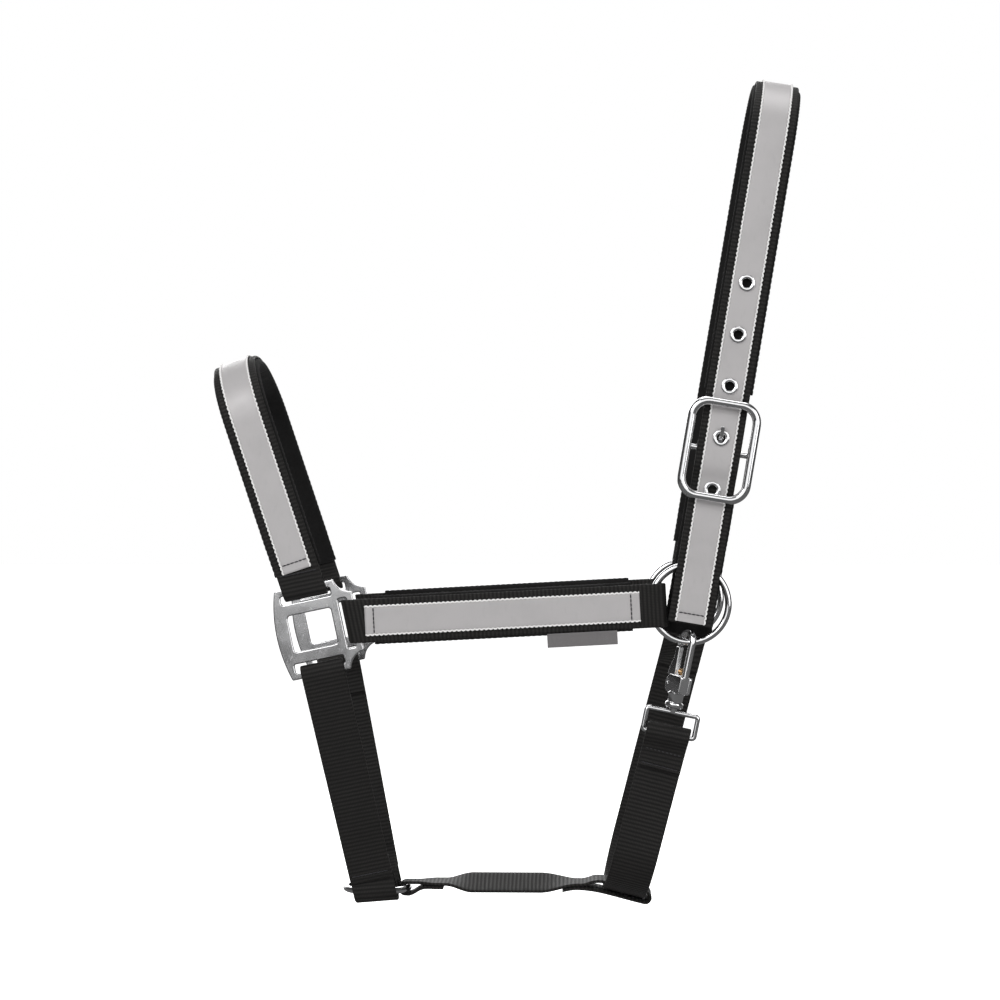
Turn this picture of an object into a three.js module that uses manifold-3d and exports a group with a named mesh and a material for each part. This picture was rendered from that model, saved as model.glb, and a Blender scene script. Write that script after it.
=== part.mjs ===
// Headcollar: webbing straps with padding and reflective tape, joined by cast and wire fittings.
// Millimetres, +Z up, +X from the nose to the poll, near side at -Y, origin on the poll seat.
import * as THREE from 'three';
import { mergeVertices } from 'three/addons/utils/BufferGeometryUtils.js';
import Module from 'manifold-3d';

const wasm = await Module();
wasm.setup();

// Strap material
const WEB_W = 25;            // webbing width
const WEB_T = 1.8;           // webbing thickness
const TAPE_W = 17;           // reflective tape width
const TAPE_T = 0.5;
const PAD_W = 28;            // padded backing width
const PAD_T = 4;
const GAP = 0.3;             // gap between sewn layers
const TAIL = 12;             // length of a strap's sewn tail
const TAIL_RISE = 9;         // from a bar to where its loop has closed

// Fittings
const WIRE = 4;              // ring wire diameter
const RING_OD = 48;
const CHIN_RING_OD = 40.5;
const BAR_CLEAR = 0.5;       // clearance between a bar and its webbing loop
const HALF = 46;             // half distance between near and far fittings

// Places in the side view, [x, z]
const RING_AT = [-52, -295];
const SQUARE_AT = [-267.3, -310.4];
const CHIN_RING_AT = [-233.8, -463.9];
const SQUARE_TILT = 12;      // degrees, all strap angles below too
const CROWN_LEAN = 9.5;
const NOSE_LEAN = -18.5;
const NOSE_HEIGHT = 140;     // square's top rim to the top of the noseband
const NOSE_ARCH = 34;        // height of the rounded top
const CROWN_ARCH = 40;

// Squares
const WINDOW_W = 25.4;
const WINDOW_H = 21;
const PLATE_T = 3.5;
const CROSS_BAR = 6.8;       // between window and upper or lower slot
const SIDE_BAR = 5;          // between window and cheek slot
const SLOT = 4.8;
const RIM = 4;
const SLOT_SPARE = 2;        // slot length beyond the webbing, each end
const CHEEK_BULGE = 8.1;     // rounded front edge beyond the window

// Crown, chape and buckle, distances measured down the crown from the poll
const BUCKLE_DOWN = 211;
const BUCKLE_W = 42;
const BUCKLE_H = 59;
const BUCKLE_BAR = 5;
const BUCKLE_CLEAR = 1.9;    // strap to frame, lets the frame rock
const DIP = 2.7;             // how far the strap dips behind the frame
const BUCKLE_CORNER = 12;
const CROWN_SHIFT = 0.9;
const CROWN_END = 311;
const CHAPE_PAD_END = 318;
const CHAPE_PAD_T = 3;
const EYELETS = 5;
const EYELET_FIRST = 114.7;
const EYELET_PITCH = 29.7;
const EYELET_OD = 9.5;
const EYELET_ID = 5.2;
const EYELET_WALL = 0.6;
const TONGUE_W = 2.4;
const TONGUE_T = 1.4;
const TONGUE_EYE_R = 3.6;
const TONGUE_EYELET = 3;     // the eyelet in use, counted from the top, from 0
const HOLE_R = EYELET_ID / 2 + EYELET_WALL + 0.3;

// Throat strap and jaw connector
const THROAT_LEAN = 14.5;
const THROAT_BOTTOM = [-89.2, -465];   // webbing's centre
const THROAT_ARCH = 30;
const CONNECTOR_ROLL = 18;
const CONNECTOR_NECK = 12;   // width gathered into the chin ring
const CONNECTOR_CLEAR = 1.2; // round the throat strap
const CHIN_LOOP_LEVEL = 0.6;  // how far the chin loop turns to lie along its ring, 0 to 1
const CHIN_LOOP_SPARE = 1.7;
const CHIN_STRAP_END = 8;    // chin strap's cut end above the chin ring's wire
const CHIN_SLOT_SHIFT = 1;   // chin strap's place along its slot

// Snap hook, measured up from the ring wire's centre along the snap
const SNAP_LEAN = 11.5;
const SNAP_AT = [-53.6, -317];
const SNAP_TURN = 62;        // hook plane from the side view
const HOOK_BAR = 4;
const HOOK_INNER = 4.2;
const HOOK_TIP = -3;
const GATE_GAP = 0.6;
const GATE_T = 3;
const THUMB = 3.6;
const BASE_W = 7.6;
const STEM_IN = 7;           // depth of the swivel's bore
const SPRING_AT = -17.2;
const SPRING_R = 1.5;
const SPRING_WIRE = 0.8;
const SPRING_END = 0.9;      // stops clear of the gate's swing
const PIVOT = [5.2, -24];
const BASE_TOP = -19.5;
const BARREL_TOP = -29.5;
const BARREL_END = -38.2;
const BARREL_D = 10.5;
const STEM_D = 4.4;
const STEM_CLEAR = 0.3;
const EYE_W = 32.4;
const EYE_WIRE = 2.8;
const EYE_TOP = -40.6;
const EYE_BAR = -53.4;
const PIN_D = 2.2;
const PIN_CLEAR = 0.3;

const LABEL_W = 40;
const LABEL_H = 8;
const LABEL_T = 0.7;
const LABEL_FROM_RING = 20;

// Derived sizes
const LOOP_R = WIRE / 2 + BAR_CLEAR + WEB_T / 2;   // centre of a bar to centre of its webbing
const LAYER = WEB_T + GAP;                         // pitch of two sewn layers
const RING_R = (RING_OD - WIRE) / 2;
const CHIN_R = (CHIN_RING_OD - WIRE) / 2;
const SLOT_HALF = WEB_W / 2 + SLOT_SPARE;
const RIM_UP = WINDOW_H / 2 + CROSS_BAR + SLOT + RIM / 2;
const RIM_SIDE = WINDOW_W / 2 + SIDE_BAR + SLOT + RIM / 2;
const RIM_OVER = 1.2;                              // loop's bend beyond a straight rim
const TAPE_OFF = WEB_T / 2 + GAP;                  // webbing centre to the face of a layer on it

const STEP = 4;                                     // spacing of a strap's stations
const ARCH_FLAT = 6;                                // half length of the flat on top of an arch

const rad = THREE.MathUtils.degToRad;
const v2 = (x, y) => new THREE.Vector2(x, y);
const smooth = (t) => THREE.MathUtils.smoothstep(t, 0, 1);

const FINISH = {
  webbing: { color: 0x141313, roughness: 0.8, metalness: 0 },
  padding: { color: 0x0c0c0c, roughness: 0.95, metalness: 0 },
  tape: { color: 0xc4c0c0, roughness: 0.45, metalness: 0 },
  chrome: { color: 0xd8d8da, roughness: 0.12, metalness: 1 },
  brass: { color: 0xb98d55, roughness: 0.3, metalness: 1 },
  label: { color: 0x6c6a6b, roughness: 0.5, metalness: 0 },
};

const headcollar = new THREE.Group();

function add(name, geometry, finish, frame = headcollar) {
  const mesh = new THREE.Mesh(geometry, new THREE.MeshStandardMaterial(FINISH[finish]));
  mesh.name = name;
  frame.add(mesh);
  return mesh;
}

// A frame in the side view: local x leans from +Z by `lean` degrees, local y is the row's Y
function sideFrame([x, z], lean) {
  const frame = new THREE.Group();
  const a = rad(lean);
  const along = new THREE.Vector3(Math.sin(a), 0, Math.cos(a));
  const side = new THREE.Vector3(0, 1, 0);
  const across = new THREE.Vector3().crossVectors(along, side);
  frame.setRotationFromMatrix(new THREE.Matrix4().makeBasis(along, side, across));
  frame.position.set(x, 0, z);
  headcollar.add(frame);
  return frame;
}

function toSolid(geometry) {
  const bare = geometry.clone();
  bare.deleteAttribute('normal');
  bare.deleteAttribute('uv');
  const merged = mergeVertices(bare, 1e-5);
  return new wasm.Manifold(new wasm.Mesh({
    numProp: 3,
    vertProperties: new Float32Array(merged.attributes.position.array),
    triVerts: new Uint32Array(merged.index.array),
  }));
}

function toGeometry(solid) {
  const { vertProperties, triVerts } = solid.getMesh();
  const geometry = new THREE.BufferGeometry();
  geometry.setAttribute('position', new THREE.BufferAttribute(vertProperties, 3));
  geometry.setIndex(new THREE.BufferAttribute(triVerts, 1));
  return geometry;
}

const join = (...parts) => toGeometry(parts.map(toSolid).reduce((a, b) => a.add(b)));
const cut = (body, ...tools) =>
  toGeometry(tools.map(toSolid).reduce((a, b) => a.subtract(b), toSolid(body)));

const amount = (value, x) => (typeof value === 'function' ? value(x) : value);

// A flat strap: the side profile `spine` thickened from offset `a` to offset `b`
function band(spine, width, a, b, shear) {
  const normals = spine.map((p, i) => {
    const before = spine[Math.max(i - 1, 0)];
    const after = spine[Math.min(i + 1, spine.length - 1)];
    const t = after.clone().sub(before).normalize();
    return v2(-t.y, t.x);
  });
  const edge = (offset) =>
    spine.map((p, i) => p.clone().addScaledVector(normals[i], amount(offset, p.x)));
  const shape = new THREE.Shape([...edge(a), ...edge(b).reverse()]);
  const geometry = new THREE.ExtrudeGeometry(shape, { depth: width, bevelEnabled: false });
  geometry.translate(0, 0, -width / 2);
  if (shear) skew(geometry, shear);
  return geometry;
}

// Slides each point along the strap by shear(x, y) for each millimetre across it
function skew(geometry, shear) {
  const p = geometry.attributes.position;
  for (let i = 0; i < p.count; i++) {
    p.setX(i, p.getX(i) + p.getZ(i) * shear(p.getX(i), p.getY(i)));
  }
}

// Webbing folded round a bar at (x, y). The strap leaves towards `dir` on the side `side`.
// Points run from the tip of the sewn tail to the start of the strap.
function loop(x, y, dir, side, over, tail = TAIL, slope = 0) {
  const steps = 8;
  const lift = 2;
  const main = y + side * LOOP_R;
  const beside = (away) => main - side * LAYER * Math.hypot(1, slope) + slope * (away - lift);
  const points = [TAIL_RISE + tail, TAIL_RISE].map((away) => v2(x + dir * away, beside(away)));
  points.push(v2(x + dir * lift, y - side * LOOP_R));
  for (let i = 0; i <= steps; i++) {
    const a = -Math.PI / 2 + (Math.PI * i) / steps;
    points.push(v2(x - dir * (over + LOOP_R * Math.cos(a)), y + side * LOOP_R * Math.sin(a)));
  }
  points.push(v2(x + dir * lift, main));
  return points;
}

// A rounded end from (x, from) to (x, to), `height` high, with a short flat in its middle
function arch(x, from, to, height, steps = 9) {
  const flat = ARCH_FLAT * Math.sign(to - from);
  const middle = (from + to) / 2;
  const corner = (sign, i) => {
    const a = (Math.PI / 2 / steps) * i;
    const reach = Math.abs(to - from) / 2 - ARCH_FLAT;
    return v2(x + height * Math.sin(a),
      middle + sign * (flat + Math.sign(to - from) * reach * Math.cos(a)));
  };
  const points = [];
  for (let i = 0; i <= steps; i++) points.push(corner(-1, i));
  points.push(v2(x + height, middle - flat / 3), v2(x + height, middle + flat / 3));
  for (let i = steps; i >= 0; i--) points.push(corner(1, i));
  return points;
}

// A straight run, with close stations only near its ends, where it bends or steps
function straight(from, to, step = STEP, ends = TAIL_RISE + TAIL + 3 * STEP) {
  const length = from.distanceTo(to);
  const count = Math.max(1, Math.round(length / step));
  return Array.from({ length: count + 1 }, (_, i) => from.clone().lerp(to, i / count))
    .filter((p) => Math.min(p.distanceTo(from), p.distanceTo(to)) < ends);
}

// A layer's face pushed in by one more layer where a sewn tail lies under it
const overTails = (base, ...tips) => (x) =>
  base + LAYER * Math.max(...tips.map(([at, dir]) => 1 - smooth((dir * (x - at) - STEP) / STEP)));

function square(side) {
  const half = SLOT_HALF + 2.6;
  const up = RIM_UP + RIM / 2;
  const right = RIM_SIDE + RIM / 2;
  const shape = new THREE.Shape();
  shape.moveTo(-half, up);
  shape.lineTo(half, up);
  shape.quadraticCurveTo(half + 1.5, half + 1.5, right, half);
  shape.lineTo(right, -half);
  shape.quadraticCurveTo(half + 1.5, -half - 1.5, half, -up);
  shape.lineTo(-half, -up);
  shape.quadraticCurveTo(-WINDOW_W / 2 - 2 * CHEEK_BULGE + 3.9, 0, -half, up);
  const opening = (x, y, w, h) => {
    const r = 1;
    const hole = new THREE.Path();
    hole.moveTo(x - w / 2 + r, y - h / 2);
    [[1, -1, 1, 0], [1, 1, 0, 1], [-1, 1, -1, 0], [-1, -1, 0, -1]].forEach(([sx, sy, ox, oy]) => {
      hole.lineTo(x + sx * (w / 2 - Math.abs(ox) * r), y + sy * (h / 2 - Math.abs(oy) * r));
      hole.lineTo(x + sx * (w / 2 - Math.abs(oy) * r), y + sy * (h / 2 - Math.abs(ox) * r));
    });
    shape.holes.push(hole);
  };
  const slotUp = RIM_UP - (RIM + SLOT) / 2;
  opening(0, 0, WINDOW_W, WINDOW_H);
  opening(0, slotUp, 2 * SLOT_HALF, SLOT);
  opening(0, -slotUp, 2 * SLOT_HALF, SLOT);
  opening(RIM_SIDE - (RIM + SLOT) / 2, 0, SLOT, 2 * SLOT_HALF);
  const bevel = 0.5;
  const geometry = new THREE.ExtrudeGeometry(shape, {
    depth: PLATE_T - 2 * bevel, bevelThickness: bevel, bevelSize: bevel, bevelOffset: -bevel,
    bevelSegments: 1, curveSegments: 8,
  });
  geometry.translate(0, 0, -PLATE_T / 2 + bevel);
  geometry.rotateX(Math.PI / 2);
  geometry.rotateY(-rad(SQUARE_TILT));
  geometry.translate(SQUARE_AT[0], side * HALF, SQUARE_AT[1]);
  return geometry;
}

// A point given in the squares' own directions, in the side view
function onSquare(u, v) {
  const a = rad(SQUARE_TILT);
  return [
    SQUARE_AT[0] + u * Math.cos(a) - v * Math.sin(a),
    SQUARE_AT[1] + u * Math.sin(a) + v * Math.cos(a),
  ];
}

// Where a side-view point lies in a frame: along and across it
function inFrame(origin, lean, [x, z]) {
  const a = rad(lean);
  const dx = x - origin[0];
  const dz = z - origin[1];
  return v2(dx * Math.sin(a) + dz * Math.cos(a), -dx * Math.cos(a) + dz * Math.sin(a));
}

// How a straight strap fits a ring: where it meets the wire, its skew, and the bend's overrun
function ringFit(origin, lean, centre, radius, dir, width = WEB_W) {
  const c = inFrame(origin, lean, centre);
  const h = width / 2;
  const wire = (z) => c.x + dir * Math.sqrt(radius ** 2 - (z - c.y) ** 2);
  const skewBy = (wire(h) - wire(-h)) / width;
  const inside = (z) => c.x + dir * Math.sqrt((radius - WIRE / 2) ** 2 - (z - c.y) ** 2);
  const miss = (z) => dir * (wire(0) + skewBy * z - inside(z));
  const over = Math.max(miss(h), miss(-h)) - WIRE / 2 + GAP;
  return { x: wire(0), skew: skewBy, over };
}

const leanOf = (from, to) => THREE.MathUtils.radToDeg(Math.atan2(to[0] - from[0], to[1] - from[1]));
const SIDES = [['near', -1], ['far', 1]];
const OUT = HALF + LOOP_R;                         // fittings' plane to the straps' plane
const FADE = 12;                                   // length over which a skewed end straightens

function noseband() {
  const origin = onSquare(0, RIM_UP);
  const frame = sideFrame(origin, NOSE_LEAN);
  const skewBy = Math.tan(rad(-SQUARE_TILT - NOSE_LEAN));
  const top = NOSE_HEIGHT - TAPE_OFF - TAPE_T;
  const legs = (from) => [
    ...straight(v2(from, -OUT), v2(top - NOSE_ARCH, -OUT)).slice(0, -1),
    ...arch(top - NOSE_ARCH, -OUT, OUT, NOSE_ARCH),
    ...straight(v2(top - NOSE_ARCH, OUT), v2(from, OUT)).slice(1),
  ];
  const strap = [
    ...loop(0, -HALF, 1, -1, RIM_OVER),
    ...legs(TAIL_RISE),
    ...loop(0, HALF, 1, 1, RIM_OVER).reverse(),
  ];
  const shear = (x) => skewBy * (1 - smooth((x - TAIL_RISE) / FADE));
  const covered = TAIL_RISE + 2;
  const inner = overTails(TAPE_OFF, [TAIL_RISE + TAIL, 1]);
  add('noseband_webbing', band(strap, WEB_W, -WEB_T / 2, WEB_T / 2, shear), 'webbing', frame);
  add('noseband_pad', band(legs(covered), PAD_W, inner, TAPE_OFF + LAYER + PAD_T), 'padding', frame);
  add('noseband_tape', band(legs(covered), TAPE_W, -TAPE_OFF - TAPE_T, -TAPE_OFF), 'tape', frame);
}

function cheekpiece(name, side) {
  const origin = onSquare(RIM_SIDE, 0);
  const lean = leanOf(origin, RING_AT);
  const frame = sideFrame(origin, lean);
  const fit = ringFit(origin, lean, RING_AT, RING_R, -1);
  const squareSkew = Math.tan(rad(90 - SQUARE_TILT - lean));
  const strap = [
    ...loop(0, side * HALF, 1, side, RIM_OVER),
    ...straight(v2(TAIL_RISE, side * OUT), v2(fit.x - TAIL_RISE, side * OUT)),
    ...loop(fit.x, side * HALF, -1, side, fit.over).reverse(),
  ];
  const shear = (x) => squareSkew * (1 - smooth((x - TAIL_RISE) / FADE))
    + fit.skew * smooth((x - fit.x + TAIL_RISE + FADE) / FADE);
  const cover = (margin) => straight(v2(margin, side * OUT), v2(fit.x - margin, side * OUT));
  const reach = TAIL_RISE + TAIL;
  const inner = overTails(TAPE_OFF, [reach, 1], [fit.x - reach, -1]);
  const tape = side * TAPE_OFF;
  add(`${name}_cheek_webbing`, band(strap, WEB_W, -WEB_T / 2, WEB_T / 2, shear), 'webbing', frame);
  add(`${name}_cheek_pad`,
    band(cover(TAIL_RISE + 2), PAD_W, (x) => -side * inner(x), -side * (TAPE_OFF + LAYER + PAD_T)),
    'padding', frame);
  add(`${name}_cheek_tape`, band(cover(LOOP_R + 3), TAPE_W, tape, tape + side * TAPE_T), 'tape', frame);
  if (side < 0) labelTab(frame, fit.x);
}

// Ribbon tab caught under the near cheekpiece, nearer the ring end
function labelTab(frame, length) {
  const tab = new THREE.BoxGeometry(LABEL_W, LABEL_T, LABEL_H);
  const drop = WEB_W / 2 + GAP + LABEL_H / 2;
  tab.translate(length - LABEL_FROM_RING - LABEL_W / 2, -OUT, -drop);
  add('label_tab', tab, 'label', frame);
}

function chinStrap(name, side) {
  const rim = onSquare(CHIN_SLOT_SHIFT, -RIM_UP);
  const lean = leanOf(CHIN_RING_AT, rim);
  const frame = sideFrame(CHIN_RING_AT, lean);
  const top = inFrame(CHIN_RING_AT, lean, rim).x;
  const foot = CHIN_R + LOOP_R + LAYER;            // strap's distance out at its lower end
  const slope = (OUT - foot) / (top - CHIN_STRAP_END);
  const skewBy = Math.tan(rad(-SQUARE_TILT - lean));
  const strap = [
    ...loop(top, side * HALF, -1, side, RIM_OVER, TAIL, -side * slope),
    v2(top - TAIL_RISE, side * (OUT - slope * (TAIL_RISE - 2))),
    v2(CHIN_STRAP_END, side * (foot + slope * -2)),
  ];
  const shear = (x) => skewBy * smooth((x - top + TAIL_RISE + FADE) / FADE);
  add(`${name}_chin_strap`, band(strap, WEB_W, -WEB_T / 2, WEB_T / 2, shear), 'webbing', frame);

  // the short loop sewn inside the strap, which holds the chin ring
  const outside = CHIN_R + LOOP_R;
  const inside = Math.sqrt((CHIN_R - WIRE / 2) ** 2 - (WEB_W / 2 + 1) ** 2) - GAP - WEB_T / 2;
  const middle = (outside + inside) / 2;
  const reach = (outside - inside) / 2;
  const tilt = Math.hypot(1, slope);
  const leg = (x, layer) =>
    v2(x, side * (foot + slope * (x - CHIN_STRAP_END - 2) - layer * LAYER * tilt));
  const tops = CHIN_STRAP_END + TAIL;
  const lift = WIRE / 2 + CHIN_LOOP_SPARE;         // clears the wire, which crosses at an angle
  const points = [leg(tops, 1), leg(CHIN_STRAP_END - 2, 1), v2(lift, side * (middle + reach))];
  for (let i = 0; i <= 10; i++) {
    const a = (Math.PI * i) / 10;
    points.push(v2(-(lift + WEB_T) * Math.sin(a), side * (middle + reach * Math.cos(a))));
  }
  points.push(v2(lift, side * (middle - reach)), leg(CHIN_STRAP_END + 6, 2), leg(tops, 2));
  const level = Math.tan(rad(-lean)) * CHIN_LOOP_LEVEL;
  const bend = (x) => level * (1 - smooth((x - lift) / (CHIN_STRAP_END - lift)));
  add(`${name}_chin_loop`, band(points, WEB_W, -WEB_T / 2, WEB_T / 2, bend), 'webbing', frame);
}

// Turns and narrows a strap along its length: turn(x) in degrees, scale(x) of its width
function twist(geometry, turn, scale) {
  const p = geometry.attributes.position;
  for (let i = 0; i < p.count; i++) {
    const x = p.getX(i);
    const a = rad(turn(x));
    const y = p.getY(i);
    const z = p.getZ(i) * scale(x);
    p.setXYZ(i, x, y * Math.cos(a) - z * Math.sin(a), y * Math.sin(a) + z * Math.cos(a));
  }
  return geometry;
}

function jawConnector() {
  const frame = sideFrame(CHIN_RING_AT, 90);
  const wireX = CHIN_R;
  const over = CHIN_R - Math.sqrt(CHIN_R ** 2 - (CONNECTOR_NECK / 2) ** 2) + GAP;
  const a = rad(THROAT_LEAN);
  const centre = v2(THROAT_BOTTOM[0] - CHIN_RING_AT[0], THROAT_BOTTOM[1] - CHIN_RING_AT[1] + 0.5);
  const open = WEB_T / 2 + CONNECTOR_CLEAR + WEB_T / 2;
  const half = WEB_W / 2 + BAR_CLEAR;
  const at = (t, n) => v2(centre.x + t * Math.cos(a) + n * Math.sin(a),
    centre.y - t * Math.sin(a) + n * Math.cos(a));
  const points = loop(wireX, 0, 1, 1, over);
  const level = LOOP_R;
  const mouth = at(-half - 3, open);
  points.push(...straight(v2(wireX + TAIL_RISE, level), v2(mouth.x - 8, level), 5));
  points.push(mouth, at(0, open), at(half, open));
  for (let i = 1; i < 8; i++) {
    const b = (Math.PI * i) / 8;
    points.push(at(half + open * Math.sin(b), open * Math.cos(b)));
  }
  points.push(at(half, -open), at(0, -open), at(-half - 1, -open));
  points.push(v2(mouth.x - 9, level - LAYER), v2(mouth.x - 9 - TAIL, level - LAYER));
  const strap = band(points, WEB_W, -WEB_T / 2, WEB_T / 2);
  const roll = (x) => smooth((x - wireX - 22) / 16) * (1 - smooth((x - mouth.x + 34) / 22));
  const neck = CONNECTOR_NECK / WEB_W;
  twist(strap, (x) => 90 + CONNECTOR_ROLL * roll(x),
    (x) => neck + (1 - neck) * smooth((x - wireX - 5) / 12));
  add('jaw_connector', strap, 'webbing', frame);
}

function throatStrap() {
  const frame = sideFrame(THROAT_BOTTOM, THROAT_LEAN);
  const eyeBar = alongSnap(EYE_BAR);
  const near = inFrame(THROAT_BOTTOM, THROAT_LEAN, eyeBar).x;
  const far = ringFit(THROAT_BOTTOM, THROAT_LEAN, RING_AT, RING_R, -1);
  const nearSkew = Math.tan(rad(SNAP_LEAN - THROAT_LEAN));
  const nearY = -(HALF - LOOP_R);
  const strap = [
    ...loop(near, -HALF, -1, 1, RIM_OVER),
    ...straight(v2(near - TAIL_RISE, nearY), v2(THROAT_ARCH, nearY), 10),
    ...arch(THROAT_ARCH, nearY, OUT, -THROAT_ARCH),
    ...straight(v2(THROAT_ARCH, OUT), v2(far.x - TAIL_RISE, OUT), 10),
    ...loop(far.x, HALF, -1, 1, far.over).reverse(),
  ];
  const shear = (x, y) => (y < 0
    ? nearSkew * smooth((x - near + TAIL_RISE + FADE) / FADE)
    : far.skew * smooth((x - far.x + TAIL_RISE + FADE) / FADE));
  add('throat_strap', band(strap, WEB_W, -WEB_T / 2, WEB_T / 2, shear), 'webbing', frame);
}

// A height that eases from station to station, [distance down the crown, y]
const stations = (...list) => (x) => {
  const down = -x;
  const next = list.findIndex(([at]) => at <= down);
  if (next < 0) return list[list.length - 1][1];
  if (next === 0) return list[0][1];
  const [hi, lo] = [list[next - 1], list[next]];
  return lo[1] + (hi[1] - lo[1]) * smooth((down - lo[0]) / (hi[0] - lo[0]));
};
const sampled = (from, to, yOf) =>
  straight(v2(from, 0), v2(to, 0), STEP, Infinity).map((p) => v2(p.x, yOf(p.x)));

const CROWN_AT = [-CROWN_SHIFT * Math.cos(rad(CROWN_LEAN)), CROWN_SHIFT * Math.sin(rad(CROWN_LEAN))];
const BUCKLE_REACH = (BUCKLE_H - BUCKLE_BAR) / 2;
const RING_LAYER = -(OUT + LAYER);                 // crown strap where it hangs over the ring
const BAR_LAYER = RING_LAYER - 1.2;                // crown strap over the buckle's centre bar
const DIP_LAYER = BAR_LAYER + DIP;
const BUCKLE_BAR_Y = BAR_LAYER + LAYER + LOOP_R;
const FRAME_Y = DIP_LAYER - TAPE_OFF - TAPE_T - BUCKLE_CLEAR - BUCKLE_BAR / 2;
const crownFit = ringFit(CROWN_AT, CROWN_LEAN, RING_AT, RING_R, 1);
const crownY = stations(
  [CROWN_END, RING_LAYER],
  [-crownFit.x - TAIL_RISE - TAIL - 1, RING_LAYER],
  [BUCKLE_DOWN + BUCKLE_REACH, DIP_LAYER],
  [BUCKLE_DOWN + BUCKLE_REACH - EYELET_OD, DIP_LAYER],
  [BUCKLE_DOWN + TAIL_RISE, BAR_LAYER],
  [BUCKLE_DOWN - TAIL_RISE, BAR_LAYER],
  [BUCKLE_DOWN - BUCKLE_REACH, DIP_LAYER],
  [BUCKLE_DOWN - 2 * BUCKLE_REACH, -OUT],
);

function eyeletPlaces() {
  return Array.from({ length: EYELETS }, (_, i) => {
    const x = -(EYELET_FIRST + i * EYELET_PITCH);
    const slope = Math.atan2(crownY(x + 1) - crownY(x - 1), 2);
    return { x, y: crownY(x), slope };
  });
}

// Places a shape drawn round local +Y at an eyelet, on the strap's slope
function atEyelet(geometry, { x, y, slope }) {
  geometry.rotateZ(slope);
  return geometry.translate(x, y, 0);
}

function crown(frame) {
  const top = TAPE_OFF + PAD_T;                    // webbing centre above the poll seat
  const over = [
    ...arch(top - CROWN_ARCH, -OUT, OUT, CROWN_ARCH),
  ];
  const legs = (nearEnd, farEnd) => [
    ...sampled(-nearEnd, top - CROWN_ARCH, crownY).slice(0, -1),
    ...over,
    ...straight(v2(top - CROWN_ARCH, OUT), v2(farEnd, OUT), 10).slice(1),
  ];
  const strap = [
    ...legs(CROWN_END, crownFit.x + TAIL_RISE),
    ...loop(crownFit.x, HALF, 1, 1, crownFit.over).reverse(),
  ];
  const shear = (x, y) => (y < 0 ? 0 : crownFit.skew * (1 - smooth((x - crownFit.x - TAIL_RISE) / FADE)));
  const holes = eyeletPlaces().map((place) =>
    atEyelet(new THREE.CylinderGeometry(HOLE_R, HOLE_R, 12, 14), place));
  const webbing = band(strap, WEB_W, -WEB_T / 2, WEB_T / 2, shear);
  const tape = band(legs(CROWN_END - 1, crownFit.x + TAIL_RISE + 4), TAPE_W, -TAPE_OFF - TAPE_T, -TAPE_OFF);
  const padEnd = BUCKLE_DOWN - BUCKLE_REACH - BUCKLE_BAR - 2;
  const reach = TAIL_RISE + TAIL;
  const inner = overTails(TAPE_OFF, [crownFit.x + reach, 1]);
  const outer = (x) => TAPE_OFF + PAD_T + LAYER * (1 - smooth((x - crownFit.x - reach - STEP) / STEP));
  add('crown_strap', cut(webbing, ...holes), 'webbing', frame);
  add('crown_tape', cut(tape, ...holes), 'tape', frame);
  add('crown_pad', band(legs(padEnd, crownFit.x + TAIL_RISE + 2), PAD_W, inner, outer), 'padding', frame);
}

function eyelets(frame) {
  const r = EYELET_ID / 2;
  const face = TAPE_OFF + TAPE_T + GAP;            // flange's seat from the webbing's centre
  const barrel = r + EYELET_WALL;
  const profile = [
    [r, WEB_T / 2], [barrel, WEB_T / 2], [barrel, -face], [EYELET_OD / 2, -face],
    [EYELET_OD / 2 - 0.3, -face - EYELET_WALL], [r, -face - EYELET_WALL],
    [r, WEB_T / 2],
  ].map(([x, y]) => v2(x, y)).reverse();
  eyeletPlaces().forEach((place, i) => {
    add(`eyelet_${i + 1}`, atEyelet(new THREE.LatheGeometry(profile, 14), place), 'chrome', frame);
  });
}

function chape(frame) {
  const bar = -BUCKLE_DOWN;
  const slopeAt = (x) => (crownY(x + 1) - crownY(x - 1)) / 2;
  const yOf = (x) => crownY(x) + LAYER * Math.hypot(1, slopeAt(x)) + GAP * Math.abs(slopeAt(x));
  const strap = [
    ...loop(crownFit.x, -HALF, 1, -1, crownFit.over),
    ...sampled(crownFit.x + TAIL_RISE, bar - TAIL_RISE, yOf),
    ...loop(bar, BUCKLE_BAR_Y, -1, -1, GAP, 1).reverse(),
  ];
  const shear = (x) => crownFit.skew * (1 - smooth((x - crownFit.x - TAIL_RISE) / FADE));
  const slot = new THREE.BoxGeometry(4 * LOOP_R, 4 * LOOP_R, TONGUE_W + 1.2);
  slot.translate(bar, BUCKLE_BAR_Y, 0);
  add('near_chape', cut(band(strap, WEB_W, -WEB_T / 2, WEB_T / 2, shear), slot), 'webbing', frame);

  const half = CHAPE_PAD_T / 2;
  const beside = RING_LAYER + 2 * LAYER + TAPE_OFF + half;
  const byLoop = -HALF + LOOP_R + TAPE_OFF + half;
  const byHook = -HALF + HOOK_INNER + HOOK_BAR + GAP + half + 0.4;
  const ring = -crownFit.x;
  const padY = stations(
    [CHAPE_PAD_END, byHook], [ring + 24, byHook], [ring + crownFit.over + 6, byLoop],
    [ring - TAIL_RISE, byLoop], [ring - TAIL_RISE - TAIL, beside], [BUCKLE_DOWN, beside],
  );
  const pad = sampled(-CHAPE_PAD_END, bar - BUCKLE_REACH + 2, padY);
  add('near_chape_pad', band(pad, PAD_W, -half, half), 'padding', frame);
}

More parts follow.
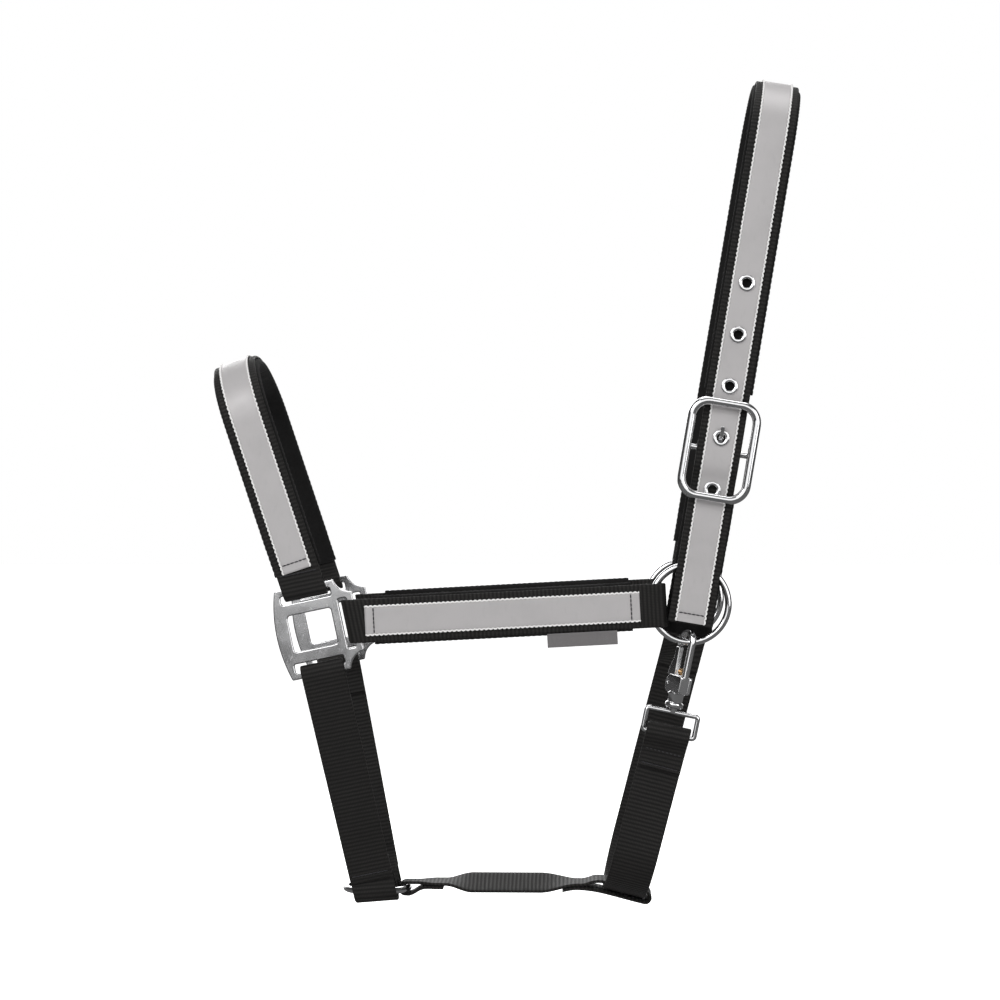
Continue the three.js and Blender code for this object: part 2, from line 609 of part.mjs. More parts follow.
function buckle(frame) {
  const outline = (target, w, h, r) => {
    target.moveTo(-w / 2 + r, -h / 2);
    target.lineTo(w / 2 - r, -h / 2);
    target.absarc(w / 2 - r, -h / 2 + r, r, -Math.PI / 2, 0);
    target.absarc(w / 2 - r, h / 2 - r, r, 0, Math.PI / 2);
    target.absarc(-w / 2 + r, h / 2 - r, r, Math.PI / 2, Math.PI);
    target.absarc(-w / 2 + r, -h / 2 + r, r, Math.PI, 1.5 * Math.PI);
    return target;
  };
  const shape = outline(new THREE.Shape(), BUCKLE_H, BUCKLE_W, BUCKLE_CORNER);
  const inside = outline(new THREE.Path(), BUCKLE_H - 2 * BUCKLE_BAR, BUCKLE_W - 2 * BUCKLE_BAR,
    BUCKLE_CORNER - BUCKLE_BAR);
  shape.holes.push(inside);
  const bevel = 1.2;
  const rim = new THREE.ExtrudeGeometry(shape, {
    depth: BUCKLE_BAR - 2 * bevel, bevelThickness: bevel, bevelSize: bevel, bevelOffset: -bevel,
    bevelSegments: 1, curveSegments: 5,
  });
  rim.translate(0, 0, -BUCKLE_BAR / 2 + bevel);
  rim.rotateX(Math.PI / 2);
  rim.translate(-BUCKLE_DOWN, FRAME_Y, 0);
  const side = (BUCKLE_W - BUCKLE_BAR) / 2;
  const barLength = BUCKLE_W - BUCKLE_BAR;
  const bar = new THREE.CylinderGeometry(WIRE / 2, WIRE / 2, barLength, 12);
  bar.rotateX(Math.PI / 2);
  bar.translate(-BUCKLE_DOWN, BUCKLE_BAR_Y, 0);
  const posts = [-side, side].flatMap((z) => {
    const rise = BUCKLE_BAR_Y - FRAME_Y;
    const post = new THREE.CylinderGeometry(WIRE / 2, WIRE / 2, rise, 12);
    post.translate(-BUCKLE_DOWN, FRAME_Y + rise / 2, z);
    const knee = new THREE.SphereGeometry(WIRE / 2, 12, 6);
    knee.translate(-BUCKLE_DOWN, BUCKLE_BAR_Y, z);
    return [post, knee];
  });
  add('buckle_frame', join(rim, bar, ...posts), 'chrome', frame);
}

function tongue(frame) {
  const bar = -BUCKLE_DOWN;
  const hole = eyeletPlaces()[TONGUE_EYELET];
  const t = TONGUE_T / 2;
  const face = TAPE_OFF + TAPE_T + GAP + EYELET_WALL;
  const inner = hole.y + WEB_T / 2 + GAP + t;
  const outer = hole.y - face - GAP - t;
  const spine = [
    v2(bar + 2.6, BUCKLE_BAR_Y - 2.2), v2(hole.x - 2, inner), v2(hole.x - 0.9, inner - 0.8),
    v2(hole.x + 0.7, outer + 0.9), v2(hole.x + 2.4, outer), v2(hole.x + 6.4, outer - 0.5),
  ];
  const arm = band(spine, TONGUE_W, -t, t);
  const eye = new THREE.CylinderGeometry(TONGUE_EYE_R, TONGUE_EYE_R, TONGUE_W, 20);
  const bore = new THREE.CylinderGeometry(WIRE / 2 + GAP, WIRE / 2 + GAP, 2 * TONGUE_W, 20);
  [eye, bore].forEach((g) => g.rotateX(Math.PI / 2).translate(bar, BUCKLE_BAR_Y, 0));
  add('buckle_tongue', toGeometry(toSolid(arm).add(toSolid(eye)).subtract(toSolid(bore))), 'chrome', frame);
}

// Side-view point at a distance along the snap from the ring wire's centre
function alongSnap(s) {
  const a = rad(SNAP_LEAN);
  return [SNAP_AT[0] + s * Math.sin(a), SNAP_AT[1] + s * Math.cos(a)];
}

// The snap's frame: local y runs up the snap, local x is turned from the side view
function snapFrame(turn) {
  const a = rad(SNAP_LEAN);
  const b = rad(turn);
  const up = new THREE.Vector3(Math.sin(a), 0, Math.cos(a));
  const left = new THREE.Vector3(-Math.cos(a), 0, Math.sin(a));
  const out = left.multiplyScalar(Math.cos(b)).addScaledVector(new THREE.Vector3(0, 1, 0), Math.sin(b));
  const frame = new THREE.Group();
  frame.setRotationFromMatrix(new THREE.Matrix4().makeBasis(out, up, out.clone().cross(up)));
  frame.position.set(SNAP_AT[0], -HALF, SNAP_AT[1]);
  headcollar.add(frame);
  return frame;
}

const pinAt = (radius, length) => new THREE.CylinderGeometry(radius, radius, length, 16)
  .rotateX(Math.PI / 2).translate(PIVOT[0], PIVOT[1], 0);
const boxAt = (x0, x1, y0, y1, depth) => new THREE.BoxGeometry(x1 - x0, y1 - y0, depth)
  .translate((x0 + x1) / 2, (y0 + y1) / 2, 0);

function snapBody(frame) {
  const r = HOOK_INNER + HOOK_BAR / 2;
  const spine = [v2(-r, BASE_TOP - 2), v2(-r, -HOOK_BAR)];
  for (let i = 0; i <= 14; i++) {
    const a = Math.PI - (Math.PI * i) / 14;
    spine.push(v2(r * Math.cos(a), r * Math.sin(a)));
  }
  spine.push(v2(r, HOOK_TIP));
  const hook = band(spine, HOOK_BAR, -HOOK_BAR / 2, HOOK_BAR / 2);
  const outer = r + HOOK_BAR / 2;
  const base = boxAt(-outer, outer, BARREL_TOP, BASE_TOP, BASE_W);
  const slot = boxAt(-HOOK_BAR / 2, outer + 1, BARREL_TOP + 2, BASE_TOP + 1, GATE_T + 2 * PIN_CLEAR);
  const barrel = new THREE.CylinderGeometry(BARREL_D / 2, BARREL_D / 2, BARREL_TOP - BARREL_END + 1, 20);
  barrel.translate(0, (BARREL_TOP + BARREL_END + 1) / 2, 0);
  const boreR = STEM_D / 2 + STEM_CLEAR;
  const bore = new THREE.CylinderGeometry(boreR, boreR, 2 * STEM_IN, 20).translate(0, BARREL_END, 0);
  const body = toSolid(hook).add(toSolid(base)).add(toSolid(barrel));
  const tools = [slot, bore, pinAt(PIN_D / 2 + PIN_CLEAR, 3 * BASE_W)].map(toSolid);
  add('snap_body', toGeometry(tools.reduce((a, b) => a.subtract(b), body)), 'chrome', frame);
  add('snap_gate_pin', pinAt(PIN_D / 2, BASE_W), 'chrome', frame);
}

function snapGate(frame) {
  const inner = HOOK_INNER + 0.2;
  const outer = HOOK_INNER + HOOK_BAR - 0.3;
  const top = HOOK_TIP - GATE_GAP;
  const [px, py] = PIVOT;
  const shape = new THREE.Shape([
    [inner, top], [outer, top], [outer + 0.3, top - 6], [outer + THUMB, py + 6], [outer + THUMB, py + 4],
    [outer, py + 1.8], [px + 2.6, py - 0.4], [px + 1.6, py - 2.3], [px, py - 2.8], [px - 1.8, py - 2.2],
    [px - 2.6, py], [inner - 0.6, py + 6],
  ].map(([x, y]) => v2(x, y)));
  const plate = new THREE.ExtrudeGeometry(shape, { depth: GATE_T, bevelEnabled: false });
  plate.translate(0, 0, -GATE_T / 2);
  add('snap_gate', cut(plate, pinAt(PIN_D / 2 + PIN_CLEAR, 3 * GATE_T)), 'chrome', frame);
}

// Small coil that holds the gate shut, between the shank and the gate
function snapSpring(frame) {
  const from = -HOOK_INNER + GAP + 0.3;
  const to = SPRING_END;
  const points = [];
  const turns = 4;
  const perTurn = 8;
  for (let i = 0; i <= turns * perTurn; i++) {
    const a = (2 * Math.PI * i) / perTurn;
    points.push(new THREE.Vector3(from + ((to - from) * i) / (turns * perTurn),
      SPRING_AT + SPRING_R * Math.cos(a), SPRING_R * Math.sin(a)));
  }
  const path = new THREE.CatmullRomCurve3(points);
  const wire = new THREE.Shape().absarc(0, 0, SPRING_WIRE / 2, 0, 2 * Math.PI);
  const coil = new THREE.ExtrudeGeometry(wire, {
    steps: turns * perTurn, curveSegments: 3, bevelEnabled: false, extrudePath: path,
  });
  add('snap_spring', coil, 'brass', frame);
}

function snapEye(frame) {
  const w = EYE_WIRE;
  const high = EYE_TOP - EYE_BAR;
  const rect = (target, halfW, y0, y1) => {
    target.moveTo(-halfW, y0);
    target.lineTo(halfW, y0);
    target.lineTo(halfW, y1);
    target.lineTo(-halfW, y1);
    return target;
  };
  const shape = rect(new THREE.Shape(), EYE_W / 2, EYE_BAR - w / 2, EYE_BAR + high + w / 2);
  shape.holes.push(rect(new THREE.Path(), EYE_W / 2 - w, EYE_BAR + w / 2, EYE_TOP - w / 2));
  const bevel = 0.6;
  const loopFrame = new THREE.ExtrudeGeometry(shape, {
    depth: w - 2 * bevel, bevelThickness: bevel, bevelSize: bevel, bevelOffset: -bevel, bevelSegments: 1,
  });
  loopFrame.translate(0, 0, -w / 2 + bevel);
  const stemTop = BARREL_END + STEM_IN - 1;
  const stem = new THREE.CylinderGeometry(STEM_D / 2, STEM_D / 2, stemTop - EYE_TOP, 20);
  stem.translate(0, (stemTop + EYE_TOP) / 2, 0);
  add('snap_eye', join(loopFrame, stem), 'chrome', frame);
}

function rings() {
  const wire = (outer) => new THREE.TorusGeometry((outer - WIRE) / 2, WIRE / 2, 8, 36);
  for (const [name, side] of SIDES) {
    const mesh = add(`${name}_ring`, wire(RING_OD), 'chrome');
    mesh.rotation.x = Math.PI / 2;
    mesh.position.set(RING_AT[0], side * HALF, RING_AT[1]);
  }
  const chin = add('chin_ring', wire(CHIN_RING_OD), 'chrome');
  chin.position.set(CHIN_RING_AT[0], 0, CHIN_RING_AT[1]);
}

noseband();
for (const [name, side] of SIDES) {
  add(`${name}_square`, square(side), 'chrome');
  cheekpiece(name, side);
  chinStrap(name, side);
}
rings();
jawConnector();
throatStrap();
const crownFrame = sideFrame(CROWN_AT, CROWN_LEAN);
crown(crownFrame);
eyelets(crownFrame);
chape(crownFrame);
buckle(crownFrame);
tongue(crownFrame);
const hookFrame = snapFrame(SNAP_TURN);
snapBody(hookFrame);
snapGate(hookFrame);
snapSpring(hookFrame);
snapEye(snapFrame(0));

export default headcollar;
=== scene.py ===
"""Headcollar: padded nylon webbing straps, reflective tape, and cast and wire fittings."""

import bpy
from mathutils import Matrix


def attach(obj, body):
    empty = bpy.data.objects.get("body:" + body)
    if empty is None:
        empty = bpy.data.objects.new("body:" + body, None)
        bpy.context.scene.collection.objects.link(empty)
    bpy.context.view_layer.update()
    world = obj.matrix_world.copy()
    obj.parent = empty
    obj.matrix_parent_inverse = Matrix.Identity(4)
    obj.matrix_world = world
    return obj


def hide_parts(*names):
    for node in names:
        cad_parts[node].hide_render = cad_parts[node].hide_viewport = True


bl_info = {
    "name": "Headcollar",
    "version": (1, 0, 0),
    "blender": (4, 5, 0),
    "location": "View3D > Sidebar > Headcollar",
    "description": "Builds a padded webbing headcollar on its packed frame",
    "category": "Add Mesh",
}

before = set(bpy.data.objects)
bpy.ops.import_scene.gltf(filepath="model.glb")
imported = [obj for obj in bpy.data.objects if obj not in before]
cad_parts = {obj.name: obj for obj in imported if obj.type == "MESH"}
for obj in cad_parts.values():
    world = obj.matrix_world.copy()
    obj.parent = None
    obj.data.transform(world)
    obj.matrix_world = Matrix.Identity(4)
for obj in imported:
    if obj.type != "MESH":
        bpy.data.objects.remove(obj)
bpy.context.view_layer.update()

import math

import bmesh
import bpy
import numpy as np
from bpy.props import FloatProperty, FloatVectorProperty, PointerProperty
from mathutils import Matrix, Vector

MM = 0.001


def mm(*lengths):
    """Lengths in millimetres, as metres"""
    return tuple(length * MM for length in lengths)


# Strap material
WEB_W, WEB_T = mm(25, 1.8)
TAPE_W, TAPE_T = mm(17, 0.5)
PAD_W, PAD_T = mm(28, 4)
GAP = 0.3 * MM                      # gap between sewn layers
TAIL, TAIL_RISE = mm(12, 9)   # a sewn tail, and the run from a bar to where its loop closes

# Fittings
WIRE = 4 * MM
RING_R, CHIN_R = mm(22, 18.25)
HALF = 46 * MM                      # half distance between near and far fittings
RING_AT = mm(-52, -295)
SQUARE_AT = mm(-267.3, -310.4)
CHIN_RING_AT = mm(-233.8, -463.9)
SQUARE_TILT, CROWN_LEAN, NOSE_LEAN, THROAT_LEAN, SNAP_LEAN = 12, 9.5, -18.5, 14.5, 11.5
NOSE_TOP = 138.3 * MM
NOSE_ARCH, CROWN_ARCH, THROAT_ARCH = mm(34, 40, 30)
THROAT_BOTTOM = mm(-89.2, -465)
RIM_UP, RIM_SIDE, RIM_OVER = mm(24.1, 24.5, 1.2)
CHIN_SLOT_SHIFT, CHIN_STRAP_END, CHIN_LOOP_LEVEL = 1 * MM, 8 * MM, 0.6
CONNECTOR_NECK, CONNECTOR_ROLL, CONNECTOR_CLEAR = 12 * MM, 18, 1.2 * MM

# Crown, distances measured down it from the poll
CROWN_SHIFT, CROWN_END = mm(0.9, 311)
BUCKLE_DOWN, BUCKLE_W, BUCKLE_H, BUCKLE_BAR = mm(211, 42, 59, 5)
BUCKLE_CLEAR, DIP, BUCKLE_CORNER = mm(1.9, 2.7, 12)
CHAPE_PAD_END, CHAPE_PAD_T = mm(318, 3)
EYELETS, EYELET_FIRST, EYELET_PITCH = 5, 114.7 * MM, 29.7 * MM
EYELET_OD, EYELET_ID, EYELET_WALL = mm(9.5, 5.2, 0.6)
TONGUE_W, TONGUE_T, TONGUE_EYE_R, TONGUE_EYELET = 2.4 * MM, 1.4 * MM, 3.6 * MM, 3

# Snap hook, measured up from the ring wire's centre along the snap
SNAP_AT, SNAP_TURN = mm(-53.6, -317), 62
HOOK_BAR, HOOK_INNER, HOOK_TIP = mm(4, 4.2, -3)
PIVOT = mm(5.2, -24)
BASE_TOP, BASE_W, BARREL_TOP, BARREL_END = mm(-19.5, 7.6, -29.5, -38.2)
BARREL_D, STEM_D, STEM_IN = mm(10.5, 4.4, 7)
EYE_W, EYE_WIRE, EYE_TOP, EYE_BAR = mm(32.4, 2.8, -40.6, -53.4)
HOOK_R = HOOK_INNER + HOOK_BAR / 2      # to the centre of the hook's wire
SNAP_OUT = HOOK_R + HOOK_BAR / 2        # to the outside of the hook
GATE_T, PIN_R, PIN_BORE_R = mm(3, 1.1, 1.4)
SLOT_HALF = GATE_T / 2 + 0.3 * MM       # half the gap that the gate turns in
SPRING_R, SPRING_WIRE, SPRING_AT, SPRING_END = mm(1.5, 0.4, -17.2, 0.4)
SPRING_TURNS, SPRING_STEPS = 4, 28

# Derived sizes
LOOP_R = WIRE / 2 + 0.5 * MM + WEB_T / 2    # centre of a bar to centre of its webbing
LAYER = WEB_T + GAP
TAPE_OFF = WEB_T / 2 + GAP
OUT = HALF + LOOP_R
FADE = 12 * MM
STEP = 4 * MM
SIDES = (("near", -1), ("far", 1))
QUARTER = Matrix.Rotation(math.pi / 2, 4, "X")


# ---------------------------------------------------------------- settings

def length(name, description, default, low, high):
    return FloatProperty(name=name, description=description, default=default * MM, min=low * MM,
                         max=high * MM, unit="LENGTH")


class HeadcollarSizes(bpy.types.PropertyGroup):
    """Sizes of the cloth, thread and metal detail"""
    rib_pitch: length("Rib pitch", "Spacing of the ribs across the webbing", 2.3, 1, 6)
    rib_depth: length("Rib depth", "Height of a rib above its groove", 0.17, 0, 0.5)
    ridge_pitch: length("Ridge pitch", "Spacing of the padding's sewn edge ridges", 3.2, 1, 8)
    scallop_pitch: length("Scallop pitch", "Spacing of the tape's edge stitches", 2.6, 1, 8)
    stitch_length: length("Stitch length", "Length of one visible stitch", 2.2, 0.5, 6)
    thread_width: length("Thread width", "Thickness of the sewing thread", 0.7, 0.2, 1.5)
    pad_unevenness: length("Pad unevenness", "How far a pad's face wavers", 0.35, 0, 1.5)
    station: length("Station spacing", "Spacing of a strap's cross sections", 0.46, 0.3, 4)


def colour(name, description, value):
    return FloatVectorProperty(name=name, description=description, subtype="COLOR", size=3,
                               min=0, max=1, default=value)


class HeadcollarColours(bpy.types.PropertyGroup):
    """Colours of the headcollar's materials"""
    webbing: colour("Webbing", "Nylon webbing", (0.0052, 0.0048, 0.0045))
    # Painted highlight: this crest colour is the light each rib's crest catches, coloured into the
    # webbing
    webbing_crest_highlight: colour("Webbing crest", "Worn crest of each rib", (0.0200, 0.0185, 0.0172))
    padding: colour("Padding", "Soft backing", (0.0030, 0.0028, 0.0028))
    tape: colour("Tape", "Reflective tape", (0.435, 0.422, 0.424))
    yarn: colour("Edge yarn", "Yarn along the tape's edges", (0.94, 0.93, 0.92))
    thread: colour("Thread", "Dark sewing thread", (0.018, 0.017, 0.022))
    chrome: colour("Chrome", "Plated fittings", (0.80, 0.80, 0.81))
    brass: colour("Spring", "Coil spring", (0.62, 0.40, 0.20))
    label: colour("Label", "Satin ribbon label", (0.155, 0.148, 0.150))
    floor: colour("Floor", "Floor and backdrop", (0.92, 0.92, 0.92))


def sizes():
    return bpy.context.scene.headcollar_sizes


def colours():
    return bpy.context.scene.headcollar_colours


# ---------------------------------------------------------------- strap lines, in a side frame

def rad(degrees):
    return math.radians(degrees)


def smooth(t):
    t = np.clip(t, 0, 1)
    return t * t * (3 - 2 * t)


def fade_out(x, bar=0.0):
    """1 at a bar's loop, easing to 0 along the strap beyond it"""
    return 1 - float(smooth((x - bar - TAIL_RISE) / FADE))


def fade_in(x, bar):
    """0 along the strap, easing to 1 at the loop round the bar at its end"""
    return float(smooth((x - bar + TAIL_RISE + FADE) / FADE))


def side_frame(origin, lean):
    """A frame in the side view: x leans from +Z by lean degrees, y is the row's Y"""
    a = rad(lean)
    along, side = Vector((math.sin(a), 0, math.cos(a))), Vector((0, 1, 0))
    place = Matrix((along, side, along.cross(side))).transposed().to_4x4()
    place.translation = (origin[0], 0, origin[1])
    return place


def on_square(u, v):
    a = rad(SQUARE_TILT)
    return (SQUARE_AT[0] + u * math.cos(a) - v * math.sin(a),
            SQUARE_AT[1] + u * math.sin(a) + v * math.cos(a))


def in_frame(origin, lean, point):
    a = rad(lean)
    dx, dz = point[0] - origin[0], point[1] - origin[1]
    return dx * math.sin(a) + dz * math.cos(a), -dx * math.cos(a) + dz * math.sin(a)


def lean_of(start, end):
    return math.degrees(math.atan2(end[0] - start[0], end[1] - start[1]))


def ring_fit(origin, lean, centre, radius, direction, width=WEB_W):
    """Where a strap meets a ring, its skew there, and how far its fold overruns the wire"""
    cx, cy = in_frame(origin, lean, centre)
    h = width / 2

    def wire(z):
        return cx + direction * math.sqrt(radius ** 2 - (z - cy) ** 2)

    def inside(z):
        return cx + direction * math.sqrt((radius - WIRE / 2) ** 2 - (z - cy) ** 2)

    skew = (wire(h) - wire(-h)) / width
    over = max(direction * (wire(0) + skew * z - inside(z)) for z in (h, -h)) - WIRE / 2 + GAP
    return wire(0), skew, over


def straight(start, end, step=STEP):
    """Points of a straight run between two points"""
    start, end = np.array(start, float), np.array(end, float)
    count = max(1, round(float(np.linalg.norm(end - start)) / step))
    return [tuple(start + (end - start) * i / count) for i in range(count + 1)]


def fold(x, y, direction, side, over, tail=TAIL, slope=0.0):
    """Webbing folded round a bar at (x, y), from the tip of its sewn tail to the strap's start"""
    steps, lift = 8, 2 * MM
    main = y + side * LOOP_R

    def beside(away):
        return main - side * LAYER * math.hypot(1, slope) + slope * (away - lift)

    line = [(x + direction * away, beside(away)) for away in (TAIL_RISE + tail, TAIL_RISE)]
    line.append((x + direction * lift, y - side * LOOP_R))
    for i in range(steps + 1):
        a = -math.pi / 2 + math.pi * i / steps
        line.append((x - direction * (over + LOOP_R * math.cos(a)),
                     y + side * LOOP_R * math.sin(a)))
    line.append((x + direction * lift, main))
    return line


def arch(x, start, end, height, steps=9):
    """A rounded end from (x, start) to (x, end), with a short flat in its middle"""
    sign = math.copysign(1, end - start)
    flat, middle = 6 * MM * sign, (start + end) / 2
    reach = abs(end - start) / 2 - 6 * MM

    def corner(which, i):
        a = math.pi / 2 / steps * i
        return x + height * math.sin(a), middle + which * (flat + sign * reach * math.cos(a))

    line = [corner(-1, i) for i in range(steps + 1)]
    line += [(x + height, middle - flat / 3), (x + height, middle + flat / 3)]
    return line + [corner(1, i) for i in range(steps, -1, -1)]


def over_tails(base, *tips):
    """A layer's face pushed in by one more layer where a sewn tail lies under it"""
    def offset(x):
        return base + LAYER * max(1 - smooth((way * (x - at) - STEP) / STEP) for at, way in tips)
    return offset


def stations(*listed):
    """A height that eases from station to station, [distance down the crown, y]"""
    def height(x):
        down = -x
        if down >= listed[0][0]:
            return listed[0][1]
        for hi, lo in zip(listed, listed[1:]):
            if lo[0] <= down:
                return lo[1] + (hi[1] - lo[1]) * float(smooth((down - lo[0]) / (hi[0] - lo[0])))
        return listed[-1][1]
    return height


def sampled(start, end, height):
    return [(x, height(x)) for x, _ in straight((start, 0), (end, 0))]


CROWN_AT = (-CROWN_SHIFT * math.cos(rad(CROWN_LEAN)), CROWN_SHIFT * math.sin(rad(CROWN_LEAN)))
BUCKLE_REACH = (BUCKLE_H - BUCKLE_BAR) / 2
RING_LAYER = -(OUT + LAYER)
BAR_LAYER = RING_LAYER - 1.2 * MM
DIP_LAYER = BAR_LAYER + DIP
BUCKLE_BAR_Y = BAR_LAYER + LAYER + LOOP_R
FRAME_Y = DIP_LAYER - TAPE_OFF - TAPE_T - BUCKLE_CLEAR - BUCKLE_BAR / 2
CROWN_FIT = ring_fit(CROWN_AT, CROWN_LEAN, RING_AT, RING_R, 1)
crown_y = stations(
    (CROWN_END, RING_LAYER),
    (-CROWN_FIT[0] - TAIL_RISE - TAIL - 1 * MM, RING_LAYER),
    (BUCKLE_DOWN + BUCKLE_REACH, DIP_LAYER),
    (BUCKLE_DOWN + BUCKLE_REACH - EYELET_OD, DIP_LAYER),
    (BUCKLE_DOWN + TAIL_RISE, BAR_LAYER),
    (BUCKLE_DOWN - TAIL_RISE, BAR_LAYER),
    (BUCKLE_DOWN - BUCKLE_REACH, DIP_LAYER),
    (BUCKLE_DOWN - 2 * BUCKLE_REACH, -OUT),
)


def crown_slope(x):
    return (crown_y(x + 1 * MM) - crown_y(x - 1 * MM)) / (2 * MM)


def eyelet_places():
    return [(x, crown_y(x), math.atan(crown_slope(x)))
            for x in (-(EYELET_FIRST + i * EYELET_PITCH) for i in range(EYELETS))]


# ---------------------------------------------------------------- mesh building

def linked(name, data):
    obj = bpy.data.objects.new(name, data)
    bpy.context.scene.collection.objects.link(obj)
    return obj


def write_mesh(bm, mesh, outward=True):
    """Puts an edited mesh back, with its faces turned outward"""
    if outward:
        bmesh.ops.recalc_face_normals(bm, faces=bm.faces)
    bm.to_mesh(mesh)
    bm.free()


def tube_faces(count, around):
    """Faces of a grid of points that closes both ways"""
    return [(i * around + j, i * around + (j + 1) % around,
             ((i + 1) % count) * around + (j + 1) % around, ((i + 1) % count) * around + j)
            for i in range(count) for j in range(around)]


def new_object(name, verts, faces, uvs=None, place=None, smooth_shade=True):
    mesh = bpy.data.meshes.new(name)
    mesh.from_pydata([tuple(v) for v in verts], [], faces)
    if uvs is not None:
        layer = mesh.uv_layers.new(name="Cloth")
        index = np.empty(len(mesh.loops), int)
        mesh.loops.foreach_get("vertex_index", index)
        layer.data.foreach_set("uv", np.asarray(uvs, np.float32)[index].ravel())
    if place is not None:
        mesh.transform(place)
    mesh.shade_smooth() if smooth_shade else mesh.shade_flat()
    mesh.validate()
    return linked(name, mesh)


def finish_piece(obj, body, slot, finish, *nodes):
    """Gives a piece its material, its body and the CAD nodes that it stands for"""
    obj.data.materials.clear()
    obj.data.materials.append(finish_of(finish))
    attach(obj, body)
    if nodes:
        obj.name = f"{nodes[0]}_detail"
        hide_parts(*nodes)
    return obj


def finish_metal(obj, body, name, finish="chrome"):
    return finish_piece(obj, body, "chrome", finish, name)


def apply_modifiers(obj):
    depsgraph = bpy.context.evaluated_depsgraph_get()
    mesh = bpy.data.meshes.new_from_object(obj.evaluated_get(depsgraph))
    obj.modifiers.clear()
    obj.data = mesh
    return obj


def run_along(p):
    return np.concatenate([[0], np.cumsum(np.linalg.norm(np.diff(p, axis=0), axis=1))])


def spaced(line, step, passes=2):
    """The line with its corners cut, at even spacing, and each point's distance along it"""
    p = np.array(line, float)
    for _ in range(passes):
        q = np.empty((2 * (len(p) - 1), p.shape[1]))
        q[0::2], q[1::2] = p[:-1] * 0.75 + p[1:] * 0.25, p[:-1] * 0.25 + p[1:] * 0.75
        p = np.vstack([p[:1], q, p[-1:]])
    run = run_along(p)
    at = np.linspace(0, run[-1], max(4, round(run[-1] / step)) + 1)
    return np.column_stack([np.interp(at, run, p[:, k]) for k in range(p.shape[1])]), at


def normals_of(points):
    t = np.gradient(points, axis=0)
    t /= np.linalg.norm(t, axis=1)[:, None]
    return np.column_stack([-t[:, 1], t[:, 0]])


def strip_section(width, thickness, rows=9, corner=4):
    """A flat strip's section with round edges: across and height (-1 to 1), face mask"""
    edge = min(0.95, thickness / width)
    top = []
    for i in range(corner, 0, -1):
        a = math.pi / 2 * i / corner
        top.append((-(1 - edge + edge * math.sin(a)), math.cos(a), 0.0))
    for i in range(rows):
        v = (-1 + 2 * i / (rows - 1)) * (1 - edge)
        top.append((v, 1.0, float(smooth((1 - edge - abs(v)) / 0.06 + 0.35))))
    top += [(-v, h, m) for v, h, m in reversed(top[:corner])]
    bottom = [(v, -h, m) for v, h, m in reversed(top[1:-1])]
    return np.array(top + bottom)


def pad_section(rows=15, corner=7, crown=0.16):
    """A soft pad's cross section: a flat seam side at height -1 and a crowned face at height 1"""
    edge = 0.17
    ring = []
    for i in range(rows):
        v = -1 + 2 * i / (rows - 1)
        ring.append((v * (1 - edge), 1 - crown * abs(v) ** 2.2, 1.0))
    side = ring[-1][1]
    for i in range(1, corner + 1):
        a = math.pi * i / (corner + 1)
        ring.append((1 - edge + edge * math.sin(a),
                     (side - 1) / 2 + (side + 1) / 2 * math.cos(a), 0.5))
    for i in range(rows):
        v = 1 - 2 * i / (rows - 1)
        ring.append((v * (1 - edge), -1.0, 0.0))
    for i in range(1, corner + 1):
        a = math.pi * (1 - i / (corner + 1))
        ring.append((-(1 - edge + edge * math.sin(a)),
                     (side - 1) / 2 + (side + 1) / 2 * math.cos(a), 0.5))
    return np.array(ring)


def sweep(name, rings, uvs, place):
    """A closed skin through rings of points, with both ends filled"""
    count, around = rings.shape[:2]
    verts = rings.reshape(-1, 3)
    base = np.arange(count - 1)[:, None] * around
    j = np.arange(around)
    k = (j + 1) % around
    quads = np.stack([base + j, base + k, base + around + k, base + around + j], axis=-1)
    faces = [tuple(q) for q in quads.reshape(-1, 4).tolist()]
    faces.append(tuple(range(around - 1, -1, -1)))
    faces.append(tuple(range((count - 1) * around, count * around)))
    obj = new_object(name, verts, faces, uvs, place)
    bm = bmesh.new()
    bm.from_mesh(obj.data)
    write_mesh(bm, obj.data)
    return obj


def value_at(value, x):
    if callable(value):
        return np.array([value(float(q)) for q in x])
    return np.full(len(x), float(value))


def ribbed(run, pitch):
    """The height of the ribs along a strap, 0 in a groove and 1 on a crest"""
    return np.sqrt(np.abs(np.sin(math.pi * run / pitch)))


